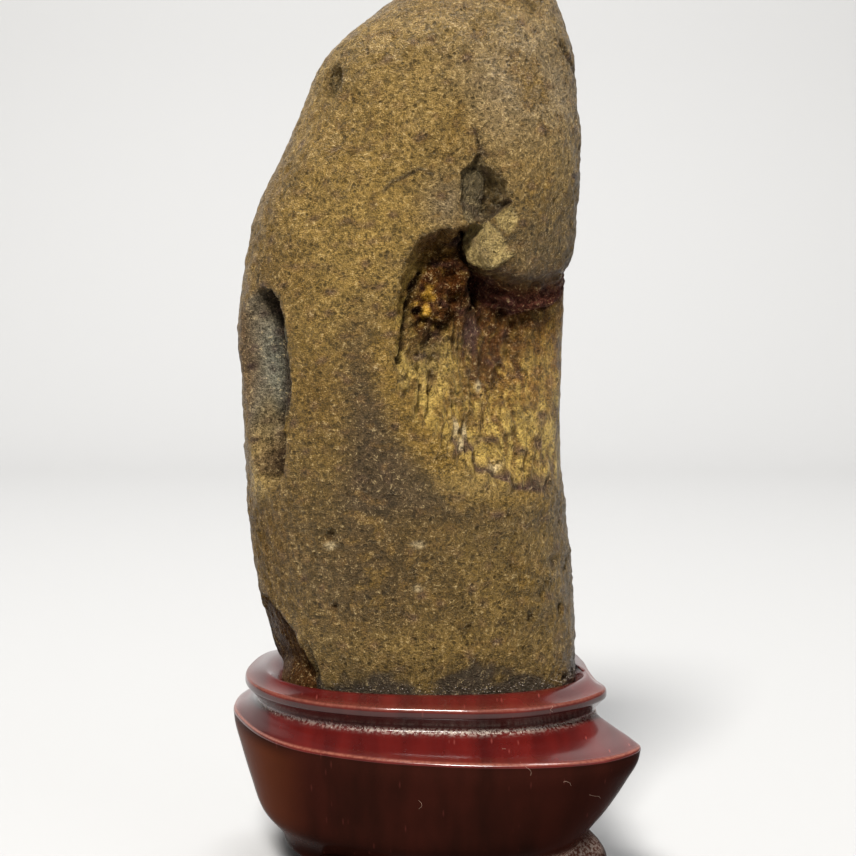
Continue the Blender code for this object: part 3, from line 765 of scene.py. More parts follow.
# Route, width and depth of each groove, then the width and strength of its stain.
CRACKS = [
    (CREASE, 0.5, 0.7, 0.4, 0.85),
    (JOINT, 0.45, 1.0, 0.6, 0.85),
    (CRACK, 0.45, 1.5, 0.55, 0.85),
    (ARC_CRACK, 0.40, 0.55, 0.38, 0.8),
    (LOW_JOINT, 0.5, 1.2, 0.6, 0.85),
    (NICK, 0.6, 1.0, 0.5, 0.85),
]
VEINS = [(VEIN, 0.6, 0.6, 0.9, 0.9), (SIDE_VEIN, 0.45, 0.4, 0.6, 0.9)]
# Place, reach and depth of the pores and holes large enough to have a place of their own.
HOLES = [
    ((-20.9, 79.4), 1.2, 1.7), ((26.9, 72.0), 1.3, 0.8), ((-18.3, 52.1), 0.8, 0.9),
    ((-5.7, 62.6), 0.8, 0.8), ((-35.4, 128.6), 1.5, 2.2), ((-6.3, 115.9), 0.9, 1.3),
    ((-36.2, 101.5), 0.9, 0.6), ((-8.8, 154.5), 0.6, 0.5), ((10.0, 157.6), 1.0, 1.2),
    ((9.4, 155.6), 0.6, 0.6), ((-2.6, 126.0), 1.0, 2.2), ((-1.2, 123.8), 1.1, 2.4),
    ((0.8, 120.6), 0.8, 1.0), ((2.2, 123.0), 0.8, 1.2), ((17.6, 124.6), 1.1, 1.6),
]
BEAK = [
    (8.9, 142.6), (9.1, 138.6), (10.0, 135.3), (12.2, 134.6), (14.8, 136.4), (16.6, 137.6),
    (15.0, 138.6), (14.4, 140.4), (12.8, 143.2), (11.0, 144.8),
]
BEAK_CHIN = 1.1
BEAK_LEAN = 0.22
BEAK_TOP = [(12.2, 145.6), (13.6, 146.8), (15.4, 147.4), (16.8, 145.0), (15.2, 142.0), (13.2, 143.2)]

beak_depth = BEAK_LEAN * np.clip(z - 135.0, 0.0, 8.0) - BEAK_CHIN
cut = grooves(x, z, CRACKS + VEINS)
cut += hollow(x, z, BEAK, beak_depth, 0.5) + hollow(x, z, BEAK_TOP, 0.8, 0.5)
cut += sum(depth * spot(x, z, place, (reach, reach)) for place, reach, depth in HOLES)
print(f"{len(CRACKS)} cracks, {len(VEINS)} veins and {len(HOLES)} holes, up to {cut.max():.1f} mm deep")

# %% Add the relief to the form
def grid_normals(points):
    """Normals of a ring-by-ring grid from the differences between neighbours."""
    across = np.roll(points, -1, axis=1) - np.roll(points, 1, axis=1)
    return outward(across, np.gradient(points, axis=0))


relief = worn * skin + slot * swellings(form, SLOT_GRAIN) + scoop * (1.0 - crust) * (1.0 - lip) * ribs
relief += crust * crumbs + cleft * facets + lip * folds - cut
relief *= rising(z, 45.0, 3.0)
stone_points = form + grid_normals(form) * relief[..., None]
print(f"relief from {relief.min():.1f} to {relief.max():.1f} mm")

# %% [markdown]
# ## Stains
#
# The stone is one rock, but iron and clay have stained it zone by zone: olive gold on the worn
# skin, ochre round the scoop, rust where water stood under the lobe, blue grey on the slot's floor
# and dirt at the foot. Light and shade are painted over the stains too: painted shade under the
# lobe and the shoulder, in the cavern, the cleft, the slot, the pit, the holes and the pores, on the
# crown and towards both sides, part of the darkening towards the foot, and a painted sheen on the
# lobe and the top. The same shares that shaped the relief now say where each stain and each painted
# shade lies, so colour and shape always agree. The stains and the painted light go into a colour
# attribute, and the sand grain is left to the material, where it can be finer than the mesh.

# %% Colours of the stains and of the painted light and shade, as linear red, green and blue
SKIN = (0.204, 0.124, 0.031)
SKIN_SHEEN = (0.215, 0.150, 0.074)
SKIN_GOLD = (0.262, 0.163, 0.042)
SKIN_DARK_AND_SHADE = (0.110, 0.066, 0.018)
SKIN_PURPLE = (0.054, 0.034, 0.020)
SKIN_BROWN = (0.120, 0.066, 0.014)
LOBE_UNDER_SHADE = (0.043, 0.016, 0.005)
OCHRE = (0.205, 0.118, 0.022)
FIBRE_GOLD = (0.430, 0.285, 0.072)
FIBRE_DARK = (0.150, 0.078, 0.020)
AMBER = (0.270, 0.130, 0.020)
RIM_GOLD = (0.360, 0.245, 0.085)
RUST = (0.058, 0.016, 0.004)
RUST_GOLD = (0.480, 0.260, 0.035)
DARK = (0.014, 0.006, 0.004)
CLAY_RED = (0.086, 0.028, 0.018)
CLAY_PURPLE = (0.070, 0.034, 0.028)
CLEFT_GREY = (0.100, 0.074, 0.036)
SHOULDER_GREY = (0.165, 0.120, 0.070)
CHIP_YELLOW = (0.300, 0.215, 0.080)
SLOT_GREY = (0.205, 0.200, 0.150)
SLOT_PINK = (0.140, 0.088, 0.044)
GROOVE_BROWN = (0.064, 0.026, 0.007)
VEIN_PURPLE = (0.060, 0.030, 0.030)
CREAM = (0.520, 0.400, 0.220)
DIRT = (0.030, 0.021, 0.017)


def mixed(start, end, share):
    """start where the share is 0 and end where it is 1."""
    return start + (np.asarray(end) - start) * np.clip(share, 0.0, 1.0)[..., None]


def dabbed(stain_and_painted_light, x, z, dabs):
    """Soft oval dabs laid on in turn. Each is its colour, its strength, its place and its reach."""
    for colour, strength, place, reach in dabs:
        stain_and_painted_light = mixed(stain_and_painted_light, colour, strength * spot(x, z, place, reach))
    return stain_and_painted_light


def lined(stain_and_painted_light, x, z, colour, lines):
    """A colour laid along several grooves in turn."""
    for route, _, _, width, strength in lines:
        stain_and_painted_light = mixed(stain_and_painted_light, colour, groove_along(x, z, route, width, strength))
    return stain_and_painted_light


def report(name, stain_and_painted_light):
    """Prints the mean colour so far, stains and painted light together, which shows how much a layer did."""
    print(f"{name}:", stain_and_painted_light.reshape(-1, 3).mean(0).round(3))


# %% Worn skin, with painted sheen and painted shade
GOLD_SPOTS = [(1.0, (-14.0, 142.0), (11.0, 14.0)), (1.0, (4.0, 171.0), (9.0, 9.0))]
DAMP_SPOTS = [
    (0.28, (-31.0, 77.0), (6.0, 14.0)),
    (0.14, (-8.0, 74.0), (14.0, 12.0)),
    (0.10, (-20.0, 163.0), (7.0, 9.0)),
]

edge = inside_distance(x, z, SCOOP)
broad = lumps(form, 42.0, 101)
patch = lumps(form, 15.0, 102)
small = lumps(form, 4.0, 103)

stain_and_painted_light = np.broadcast_to(SKIN, form.shape)
# Painted sheen: the lobe's upper right and the stone's top are mixed towards a paler, greyer skin.
painted_sheen = spot(x, z, (24.0, 168.0), (15.0, 17.0)) + 0.4 * rising(z, 150.0, 30.0)
stain_and_painted_light = mixed(stain_and_painted_light, SKIN_SHEEN, painted_sheen * (0.75 + 0.25 * broad))
stain_and_painted_light = mixed(stain_and_painted_light, SKIN_BROWN, 0.55 * smooth_step(0.3 * broad + 0.4 * patch))
# Painted shade: the crown is darkened towards brown.
stain_and_painted_light = mixed(stain_and_painted_light, SKIN_BROWN, 0.8 * rising(z, 184.0, 12.0))
# Darker towards the foot: partly the skin's own darker tone, partly painted shade where less light reaches.
stain_and_painted_light = mixed(stain_and_painted_light, SKIN_DARK_AND_SHADE, falling(z - 6.0 * broad, 112.0, 34.0) * (0.85 + 0.15 * patch))
purple = rising(z, 78.0, 10.0) * falling(z, 132.0, 14.0) * rising(x, -22.0, 8.0)
stain_and_painted_light = mixed(stain_and_painted_light, SKIN_PURPLE, 0.85 * purple * falling(edge, 1.0, 6.0))
stain_and_painted_light = mixed(stain_and_painted_light, SKIN_PURPLE, 0.6 * lobe * spot(x, z, (22.0, 138.0), (16.0, 12.0)))
stain_and_painted_light = dabbed(stain_and_painted_light, x, z, [
    (SKIN_PURPLE, 0.55, (-16.0, 72.0), (13.0, 16.0)),
    (SKIN_PURPLE, 0.42, (-12.2, 126.0), (3.2, 7.5)),
    (SKIN_BROWN, 0.85, (-23.5, 107.5), (6.5, 11.0)),
])
# Painted shade towards both sides, where the surface turns away from the light.
stain_and_painted_light = mixed(stain_and_painted_light, SKIN_BROWN, 0.7 * falling(x, -27.0, 8.0) + 0.6 * rising(x, 25.0, 6.0))
gold = 0.85 * spots(x, z, GOLD_SPOTS) * (1.0 - lobe) + 0.4 * spot(x, z, (0.0, 55.5), (22.0, 4.0))
stain_and_painted_light = mixed(stain_and_painted_light, SKIN_GOLD, gold)
stain_and_painted_light = mixed(stain_and_painted_light, GROOVE_BROWN, spots(x, z, DAMP_SPOTS))
stain_and_painted_light = dabbed(stain_and_painted_light, x, z, [(SHOULDER_GREY, 0.8, (3.4, 148.6), (4.5, 5.5))])
ring = bell(edge, -0.5, 3.6) * falling(z, 130.0, 12.0) * (1.0 - lobe)
stain_and_painted_light = mixed(stain_and_painted_light, OCHRE, ring * (0.8 + 0.3 * patch))
stain_and_painted_light = mixed(stain_and_painted_light, OCHRE, 0.6 * smooth_step(1.6 * small + 0.6 * patch - 1.2))
report("worn skin", stain_and_painted_light)

# %% Floor of the scoop
streak = 0.42 + 0.42 * fibres(x, z, 2.2, 111) + 0.28 * fibres(x, z, 1.1, 114) + 0.18 * small
floor = mixed(np.broadcast_to(FIBRE_GOLD, form.shape), FIBRE_DARK, 0.85 * smooth_step(streak))
floor = mixed(floor, OCHRE, 0.4 * (patch > 0.6))
stain_and_painted_light = mixed(stain_and_painted_light, floor, scoop * rising(edge, 0.0, 4.0))
amber = rising(x, 8.0, 8.0) * rising(z, 100.0, 12.0)
stain_and_painted_light = mixed(stain_and_painted_light, AMBER, 0.65 * scoop * amber * (0.8 + 0.3 * small))
stain_and_painted_light = dabbed(stain_and_painted_light, x, z, [(RIM_GOLD, 0.45, (11.0, 90.5), (10.0, 3.4))])
rust = spot(x, z, (15.0, 117.0), (7.0, 8.5)) * (0.75 + 0.45 * fibres(x, z, 2.0, 112))
stain_and_painted_light = mixed(stain_and_painted_light, RUST, 0.9 * scoop * smooth_step(1.5 * rust))
rust = rising(z, 112.0, 14.0) * rising(x, 3.0, 5.0) * (1.0 - 0.70 * rising(x, 22.0, 7.0))
stain_and_painted_light = mixed(stain_and_painted_light, RUST, 0.85 * scoop * rust)
# Rust along the scoop's upper left edge, which also paints the shade under the shoulder's overhang.
rust = rising(edge, -0.8, 2.0) * spot(x, z, (1.0, 141.0), (8.0, 3.4)) * (1.0 - lobe)
stain_and_painted_light = mixed(stain_and_painted_light, RUST, 0.8 * rust)
report("scoop", stain_and_painted_light)

# %% Crust, cavern and clay, with painted shade in the cavern and under the lobe
# Strength, gain, place and reach of each patch of painted shade in the cavern.
CAVERN_SHADES = [(0.95, 1.6, (11.4, 131.5), (2.6, 6.0)), (0.8, 1.3, (8.0, 139.5), (2.0, 3.0))]

crumbly = lumps(form, 2.2, 113)
golden = smooth_step(1.6 * spot(x, z, (-0.4, 127.6), (2.2, 3.6))) * smooth_step(0.2 + 0.9 * crumbly)
stain_and_painted_light = mixed(stain_and_painted_light, RUST, 0.95 * crust)
stain_and_painted_light = mixed(stain_and_painted_light, DARK, 0.6 * crust * smooth_step(-0.9 * crumbly - 0.2))
stain_and_painted_light = mixed(stain_and_painted_light, OCHRE, 0.6 * crust * smooth_step(0.9 * crumbly - 0.6))
stain_and_painted_light = mixed(stain_and_painted_light, RUST_GOLD, 0.9 * crust * golden)
stain_and_painted_light = mixed(stain_and_painted_light, CLEFT_GREY, 0.5 * scoop * spot(x, z, (0.6, 117.0), (3.4, 6.0)))
# Painted shade in the cavern, kept off the lobe.
for strength, gain, place, reach in CAVERN_SHADES:
    shade = smooth_step(gain * spot(x, z, place, reach))
    stain_and_painted_light = mixed(stain_and_painted_light, DARK, strength * shade * (1.0 - lobe))
stain_and_painted_light = mixed(stain_and_painted_light, CLAY_RED, lip)
stain_and_painted_light = mixed(stain_and_painted_light, CLAY_PURPLE, 0.9 * smooth_step(2.0 * spot(x, z, (10.5, 121.2), (1.5, 3.0))))
# Painted shade on the lobe's underside, along its lower edge.
underside_shade = falling(inside_distance(x, z, LOBE), 5.6, 4.0) * falling(z, 139.0, 3.0)
stain_and_painted_light = mixed(stain_and_painted_light, LOBE_UNDER_SHADE, 0.95 * lobe * underside_shade)
report("under the lobe", stain_and_painted_light)

# %% Cleft, beak, slot and pit, with painted shade in the cleft, the slot and the pit
SLOT_OCHRES = [(0.9, (-34.6, 100.6), (1.8, 2.8)), (0.5, (-38.5, 104.0), (1.2, 5.0))]

stain_and_painted_light = mixed(stain_and_painted_light, CLEFT_GREY, cleft)
# Painted shadow of the lobe's edge over the right of the cleft.
stain_and_painted_light = mixed(stain_and_painted_light, SKIN_DARK_AND_SHADE, 0.8 * cleft * rising(x, 11.0, 3.0))
for outline in (BEAK, BEAK_TOP):
    stain_and_painted_light = mixed(stain_and_painted_light, CHIP_YELLOW, 0.95 * share_in(x, z, outline, 0.5, 0.4))
stain_and_painted_light = mixed(stain_and_painted_light, SLOT_PINK, slot)
stain_and_painted_light = mixed(stain_and_painted_light, SLOT_GREY, 0.9 * slot * rising(x, -42.5, 5.0) * rising(z, 96.0, 9.0))
# Painted shadow: a dark line down the slot's right edge, under its rim.
stain_and_painted_light = mixed(stain_and_painted_light, DARK, 0.9 * slot * rising(x, -35.4, 1.6) * rising(z, 96.0, 4.0))
stain_and_painted_light = mixed(stain_and_painted_light, OCHRE, spots(x, z, SLOT_OCHRES))
stain_and_painted_light = dabbed(stain_and_painted_light, x, z, [
    (RIM_GOLD, 0.75, (-36.5, 89.0), (3.0, 2.6)),
    (RIM_GOLD, 0.5, (-38.2, 96.5), (1.4, 6.0)),
    (SLOT_PINK, 0.8, (-36.0, 127.0), (4.0, 4.0)),
])
# Painted shade along the trenches in the slot's floor.
stain_and_painted_light = lined(stain_and_painted_light, x, z, DARK, TRENCHES)
stain_and_painted_light = mixed(stain_and_painted_light, CLEFT_GREY, 0.5 * share_in(x, z, PIT, 0.6) * falling(x, -19.6, 1.5))
# Painted shade in the pit.
stain_and_painted_light = dabbed(stain_and_painted_light, x, z, [(DARK, 0.9, (-19.4, 174.8), (1.5, 2.8))])
report("cleft, slot and pit", stain_and_painted_light)

# %% Veins, cracks, flecks, and painted shade in the holes and pores
BRUISES = [
    ((25.6, 102.4), (1.1, 2.4)), ((24.8, 98.0), (0.9, 2.0)), ((22.8, 90.4), (1.9, 1.7)),
    ((27.4, 92.6), (1.0, 1.2)),
]
FLECKS = [
    ((8.4, 101.0), (0.6, 1.5)), ((12.0, 110.2), (0.6, 1.2)), ((-2.4, 77.8), (1.4, 0.5)),
    ((-2.6, 68.4), (1.1, 0.4)), ((-20.7, 77.3), (1.2, 0.6)), ((5.6, 101.6), (0.9, 1.9)),
    ((6.4, 98.2), (0.8, 1.1)), ((14.8, 93.4), (1.4, 0.7)),
]

stain_and_painted_light = lined(stain_and_painted_light, x, z, VEIN_PURPLE, VEINS)
stain_and_painted_light = lined(stain_and_painted_light, x, z, DARK, CRACKS)
for place, reach in BRUISES:
    stain_and_painted_light = mixed(stain_and_painted_light, VEIN_PURPLE, 0.6 * smooth_step(1.3 * spot(x, z, place, reach) + 0.15 * small))
for place, reach in FLECKS:
    stain_and_painted_light = mixed(stain_and_painted_light, CREAM, 0.8 * smooth_step(1.4 * spot(x, z, place, reach)))
# Painted shade: the holes and the middles of the pores are darkened.
stain_and_painted_light = dabbed(stain_and_painted_light, x, z, [(DARK, 0.75, place, (0.8 * reach, 0.8 * reach)) for place, reach, _ in HOLES])
stain_and_painted_light = mixed(stain_and_painted_light, DARK, pore * (0.2 + 0.5 * pitted) * (1.0 - scoop) * (1.0 - slot))
report("small marks", stain_and_painted_light)

# %% Dirt at the foot, the raw groove, and how much the skin shines
stain_and_painted_light = mixed(stain_and_painted_light, DIRT, 0.92 * falling(z - 1.4 * patch - 0.8 * small, 50.2, 3.0))
stain_and_painted_light = mixed(stain_and_painted_light, GROOVE_BROWN, 0.9 * share_in(x, z, GROOVE, 1.0))
report("stone", stain_and_painted_light)

dull = share_in(x, z, GROOVE, 1.0, 0.5) + share_in(x, z, CAVERN, 2.0)
dull += 0.7 * scoop * rising(z, 112.0, 14.0) + 0.4 * crust + 0.6 * lip + 0.7 * slot
dull += 0.8 * falling(x, -28.0, 8.0) * falling(z, 92.0, 14.0)
gloss = 1.0 - np.clip(dull, 0.0, 1.0)
print(f"mean gloss {gloss.mean():.2f} of the handled skin's")

# %% [markdown]
# ## The stone's mesh
#
# The grid is closed by a fan of triangles to one point under the foot and one on the crown. The
# points go to their real place, and the object itself stays at the origin, because the patterns in
# the material are measured from there. The stand's rim is the widest outline, so its middle is the
# middle of the whole part.

# %% The rim's outline and the middle of the part
RIM_OUTLINE = [
    (0.0, -36.6), (12.0, -38.0), (23.0, -37.8), (33.0, -35.4), (40.0, -30.8), (44.4, -24.2), (42.6, -16.6),
    (38.6, -8.0), (38.0, 5.0), (37.8, 18.0), (30.0, 31.0), (10.0, 36.4), (-12.0, 37.0), (-31.0, 35.0),
    (-43.0, 26.0), (-45.3, 11.5), (-42.6, -1.0), (-36.0, -15.6), (-27.0, -25.8), (-13.0, -33.2),
]
RIM_SAMPLES = 400


def closed_curve(outline, places):
    """A smooth closed curve through an outline's points. places run from 0 to 1 round it."""
    ring = np.array(outline * 3)
    knots = np.arange(len(ring)) / len(outline) - 1.0
    return through(knots, ring, places)


rim_curve = closed_curve(RIM_OUTLINE, np.linspace(0.0, 1.0, RIM_SAMPLES))
CENTRE = np.append(0.5 * (rim_curve.max(0) + rim_curve.min(0)), 0.0)
print("middle of the part:", CENTRE.round(2))

# %% Meshes from grids
def closed_grid_faces(rows, columns):
    """Quads between rings, and fans to the first and last point, as arrays of corner numbers."""
    row, column = np.meshgrid(np.arange(rows - 1), np.arange(columns), indexing="ij")
    low = 1 + row * columns + column
    low_next = 1 + row * columns + (column + 1) % columns
    quads = np.stack([low, low_next, low_next + columns, low + columns], -1).reshape(-1, 4)
    first = 1 + np.arange(columns)
    first_next = 1 + (np.arange(columns) + 1) % columns
    to_last = (rows - 1) * columns
    bottom = np.stack([np.zeros(columns, int), first_next, first], -1)
    top = np.stack([first + to_last, first_next + to_last, np.full(columns, 1 + rows * columns)], -1)
    return quads.tolist() + bottom.tolist() + top.tolist()


def with_poles(rings):
    """Rings flattened to a list, with the mean of the first ring before it and of the last after it."""
    flat = rings.reshape(-1, *rings.shape[2:])
    return np.concatenate([rings[:1].mean(1), flat, rings[-1:].mean(1)])


def make_piece(name, points, faces, material):
    """An object with its points in millimetres, moved so that the part's middle is the origin."""
    mesh = bpy.data.meshes.new(name)
    mesh.from_pydata(((points - CENTRE) * MM).tolist(), [], faces)
    mesh.shade_smooth()
    mesh.materials.append(material)
    piece = bpy.data.objects.new(name, mesh)
    bpy.context.scene.collection.objects.link(piece)
    return piece


def store_colour(piece, name, values):
    """Writes one colour for each vertex into a float colour attribute."""
    attribute = piece.data.color_attributes.new(name, "FLOAT_COLOR", "POINT")
    with_alpha = np.column_stack([values, np.ones(len(values))])
    attribute.data.foreach_set("color", with_alpha.astype(np.float32).ravel())


def store_share(piece, name, values):
    """Writes one number for each vertex into a float attribute."""
    attribute = piece.data.attributes.new(name, "FLOAT", "POINT")
    attribute.data.foreach_set("value", values.astype(np.float32))


skin_points = with_poles(stone_points)
skin_faces = closed_grid_faces(STONE_ROWS, STONE_COLUMNS)
print(f"stone: {len(skin_points)} points and {len(skin_faces)} faces")

# %% [markdown]
# ## Finish of the stone
#
# Fine sandstone is a crowd of grains about half a millimetre across, each a little lighter or darker.
# A cell pattern gives every grain its own brightness. Cloud patterns in three sizes make the sand
# between the grains, the clumps they stick together in and the small dimples of the skin, and a
# fourth one mottles the whole. A second cell pattern opens pits in the skin that has been handled.
# All but the mottles add up to one level, and that level sets both the brightness and the bump, so
# every dark point is also a low one. Where the level is highest, painted glints mix the colour
# towards a pale gold. The patterns are measured in object space: they neither stretch nor show a
# seam, whatever way the surface bends.

# %% Node helpers
# The Mix node has sockets for numbers, vectors and colours. These are the share and the two colours.
COLOUR_MIX_INPUTS = (0, 6, 7)
COLOUR_MIX_OUTPUT = 2


def add_node(tree, kind, settings=None, **sockets):
    """A node with its settings. A socket is linked if its value is another socket, and set if not."""
    node = tree.nodes.new(kind)
    for name, value in (settings or {}).items():
        setattr(node, name, value)
    for name, value in sockets.items():
        plug(tree, node.inputs[name.replace("_", " ")], value)
    return node


def plug(tree, socket, value):
    """Links a socket to another one, or sets it to a number or colour."""
    if isinstance(value, bpy.types.NodeSocket):
        tree.links.new(value, socket)
    else:
        socket.default_value = value


def remap(tree, value, low, high, to_low, to_high):
    """A value stretched from one range to another and kept inside it."""
    node = add_node(tree, "ShaderNodeMapRange", None, Value=value)
    for name, number in (("From Min", low), ("From Max", high), ("To Min", to_low), ("To Max", to_high)):
        node.inputs[name].default_value = number
    return node.outputs["Result"]


def blend_colours(tree, share, first, second, kind="MIX"):
    """Two colours mixed by a share, which may be a number or a socket."""
    node = add_node(tree, "ShaderNodeMix", {"data_type": "RGBA", "blend_type": kind})
    for index, value in zip(COLOUR_MIX_INPUTS, (share, first, second)):
        plug(tree, node.inputs[index], value)
    return node.outputs[COLOUR_MIX_OUTPUT]


def worked_out(tree, operation, *values):
    """Two or three values put through one piece of arithmetic, such as a product."""
    node = add_node(tree, "ShaderNodeMath", {"operation": operation})
    for socket, value in zip(node.inputs, values):
        plug(tree, socket, value)
    return node.outputs[0]


def lit(tree, colour, value, *stretch):
    """A colour multiplied by a value that is stretched between two brightnesses."""
    light = remap(tree, value, *stretch)
    factor = add_node(tree, "ShaderNodeCombineColor", None, Red=light, Green=light, Blue=light).outputs[0]
    return blend_colours(tree, 1.0, colour, factor, "MULTIPLY")


# %% Patterns
def new_finish(name):
    """An empty Principled material: its tree, its shader, and object coordinates to pattern it with."""
    material = bpy.data.materials.new(name)
    material.use_nodes = True
    tree = material.node_tree
    place = tree.nodes.new("ShaderNodeTexCoord").outputs["Object"]
    return material, tree, tree.nodes["Principled BSDF"], place


def squeezed(tree, place, scale):
    """Places scaled differently along X, Y and Z, which draws a pattern out where the scale is small."""
    return add_node(tree, "ShaderNodeMapping", None, Vector=place, Scale=scale).outputs[0]


def clouds(tree, place, per_metre, detail, roughness=0.5):
    """A cloud pattern with a given number of waves to the metre."""
    numbers = {"Scale": per_metre, "Detail": detail, "Roughness": roughness}
    return add_node(tree, "ShaderNodeTexNoise", None, Vector=place, **numbers).outputs["Fac"]


def cells(tree, place, per_metre):
    """A cell pattern: the distance to the cell's middle, and two numbers that belong to the cell."""
    node = add_node(tree, "ShaderNodeTexVoronoi", None, Vector=place, Scale=per_metre)
    own = add_node(tree, "ShaderNodeSeparateColor", None, Color=node.outputs["Color"]).outputs
    return node.outputs["Distance"], own[0], own[1]


def stored(tree, name, output="Fac"):
    """What the mesh holds under a name."""
    return add_node(tree, "ShaderNodeAttribute", {"attribute_name": name}).outputs[output]


# %% Sandstone
# Waves to the metre, detail and roughness of each cloud pattern.
SAND = (3300.0, 2.0, 0.6)
CLUMPS = (1500.0, 3.0, 0.65)
SMALL_DIMPLES = (760.0, 3.0, 0.62)
MOTTLES = (240.0, 3.0, 0.6)
GRAINS_PER_METRE = 2100.0
PITS_PER_METRE = 560.0
CLUMP_WEIGHT = 0.7
GRAIN_WEIGHT = 0.22
DIMPLE_WEIGHT = 0.9
PIT_WEIGHT = -0.45
# Each stretch takes a value from its first range to its second.
PIT_EDGE = (0.10, 0.27, 1.0, 0.0)
PIT_OPEN = (0.45, 0.60, 0.0, 1.0)
LEVEL_LIGHT = (1.17, 1.65, 0.34, 1.62)
MOTTLE_LIGHT = (0.3, 0.7, 0.84, 1.16)
GLINT_SHARE = (1.58, 1.74, 0.0, 0.6)
CLUMP_ROUGHNESS = (0.35, 0.65, 0.44, 0.27)
GLOSS_SPECULAR = (0.0, 1.0, 0.03, 0.55)
PAINTED_GLINT = (0.54, 0.41, 0.20, 1.0)
SKIN_TINT = (1.0, 0.83, 0.54, 1.0)
GRAIN_HEIGHT = 0.00095


def sandstone():
    """Stained sandstone: one level of grains, sand, clumps, dimples and pits, with painted glints, over the
    stored stain and painted light.
    """
    material, tree, shader, place = new_finish("sandstone")
    sand = clouds(tree, place, *SAND)
    clump = clouds(tree, place, *CLUMPS)
    dimple = clouds(tree, place, *SMALL_DIMPLES)
    mottle = clouds(tree, place, *MOTTLES)
    _, grain, _ = cells(tree, place, GRAINS_PER_METRE)
    pit_distance, _, pit_own = cells(tree, place, PITS_PER_METRE)
    shine = stored(tree, "gloss")
    pit = worked_out(tree, "MULTIPLY", remap(tree, pit_distance, *PIT_EDGE), remap(tree, pit_own, *PIT_OPEN))
    pit = worked_out(tree, "MULTIPLY", pit, shine)

    grit = worked_out(tree, "MULTIPLY_ADD", clump, CLUMP_WEIGHT, sand)
    for value, weight in ((grain, GRAIN_WEIGHT), (dimple, DIMPLE_WEIGHT), (pit, PIT_WEIGHT)):
        grit = worked_out(tree, "MULTIPLY_ADD", value, weight, grit)
    colour = lit(tree, stored(tree, "stain_and_painted_light", "Color"), grit, *LEVEL_LIGHT)
    colour = lit(tree, colour, mottle, *MOTTLE_LIGHT)
    # Painted glints: where the level is highest the colour is mixed towards a pale gold.
    colour = blend_colours(tree, remap(tree, grit, *GLINT_SHARE), colour, PAINTED_GLINT)
    bump = add_node(tree, "ShaderNodeBump", None, Height=grit, Strength=1.0, Distance=GRAIN_HEIGHT)
    plug(tree, shader.inputs["Base Color"], colour)
    plug(tree, shader.inputs["Roughness"], remap(tree, clump, *CLUMP_ROUGHNESS))
    plug(tree, shader.inputs["Normal"], bump.outputs["Normal"])
    plug(tree, shader.inputs["Specular IOR Level"], remap(tree, shine, *GLOSS_SPECULAR))
    plug(tree, shader.inputs["Specular Tint"], SKIN_TINT)
    return material


stone = make_piece("scholars_stone", skin_points, skin_faces, sandstone())
store_colour(stone, "stain_and_painted_light", with_poles(stain_and_painted_light))
store_share(stone, "gloss", with_poles(gloss[..., None])[:, 0])
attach(stone, "root")
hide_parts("stone")
print(f"stone finish: {len(stone.active_material.node_tree.nodes)} nodes")

# %% [markdown]
# ## The stand
#
# The stand is one block of wood. A carver saws it to the plan of the stone's foot, cuts the flare of
# the bowl with a gouge, then a ledge and a tight cove under the collar, and at last sinks the socket.
# So every level is a closed outline seen from above, and the surface is a loft that passes through
# all of them. Levels that lie close together make the fine edges that catch the light.

# %% Outlines of the stand
COLLAR_OUTLINE = [
    (0.0, -30.2), (11.0, -30.8), (21.0, -28.8), (30.0, -23.6), (35.4, -17.8), (38.4, -11.6), (37.0, -4.0),
    (36.2, 5.0), (35.6, 15.0), (33.0, 24.0), (22.0, 29.2), (5.0, 30.6), (-14.0, 30.6), (-29.0, 29.6),
    (-38.3, 23.8), (-41.6, 10.0), (-40.9, -2.0), (-36.0, -13.0), (-26.5, -22.6), (-13.0, -28.4),
]
BELLY_OUTLINE = [
    (0.0, -30.4), (10.0, -31.0), (19.0, -30.0), (26.5, -27.0), (31.5, -22.6), (34.0, -16.4), (34.4, -10.0),
    (34.0, -2.0), (33.6, 6.0), (32.0, 17.0), (24.0, 26.0), (8.0, 30.0), (-11.0, 30.6), (-27.0, 28.6),
    (-36.4, 21.0), (-38.8, 9.5), (-37.4, -2.0), (-32.4, -12.4), (-24.0, -21.6), (-12.0, -27.6),
]
BASE_OUTLINE = [
    (0.0, -24.0), (9.0, -24.6), (17.0, -24.0), (24.0, -21.6), (28.8, -18.0), (31.8, -13.0), (32.6, -8.0),
    (32.4, -1.0), (31.8, 6.0), (29.6, 14.6), (21.0, 21.6), (7.0, 24.6), (-10.0, 25.0), (-23.0, 23.2),
    (-31.2, 17.0), (-33.6, 8.0), (-32.6, -1.0), (-28.6, -10.0), (-20.6, -17.4), (-10.6, -22.2),
]
print(f"the base is {np.ptp(BASE_OUTLINE, axis=0)} mm over its points, the rim {np.ptp(RIM_OUTLINE, axis=0)}")

# %% Levels of the stand
# Heights in millimetres, from the underside up to the top of the collar and down into the socket.
UNDERSIDE = 5.5
BELLY = 14.0
RIM_LOW = 34.2
RIM_TOP = 35.0
WAIST = 38.9
COLLAR_FACE_LOW = 41.9
COLLAR_TOP = 44.4
SOCKET_FLOOR = 37.5
# Insets of the cove and of the ledge's edge, and the gap round the stone.
WAIST_INSET = 2.6
LEDGE_INSET = 0.5
SOCKET_GAP = 0.35
# Every level below ends with its height and the number of rows between it and the next level. It
# starts with what the comment before its table names.
# Inset from the base's outline.
BASE_LEVELS = [(3.0, UNDERSIDE, 3), (0.6, UNDERSIDE + 0.3, 5), (0.0, UNDERSIDE + 2.2, 8)]
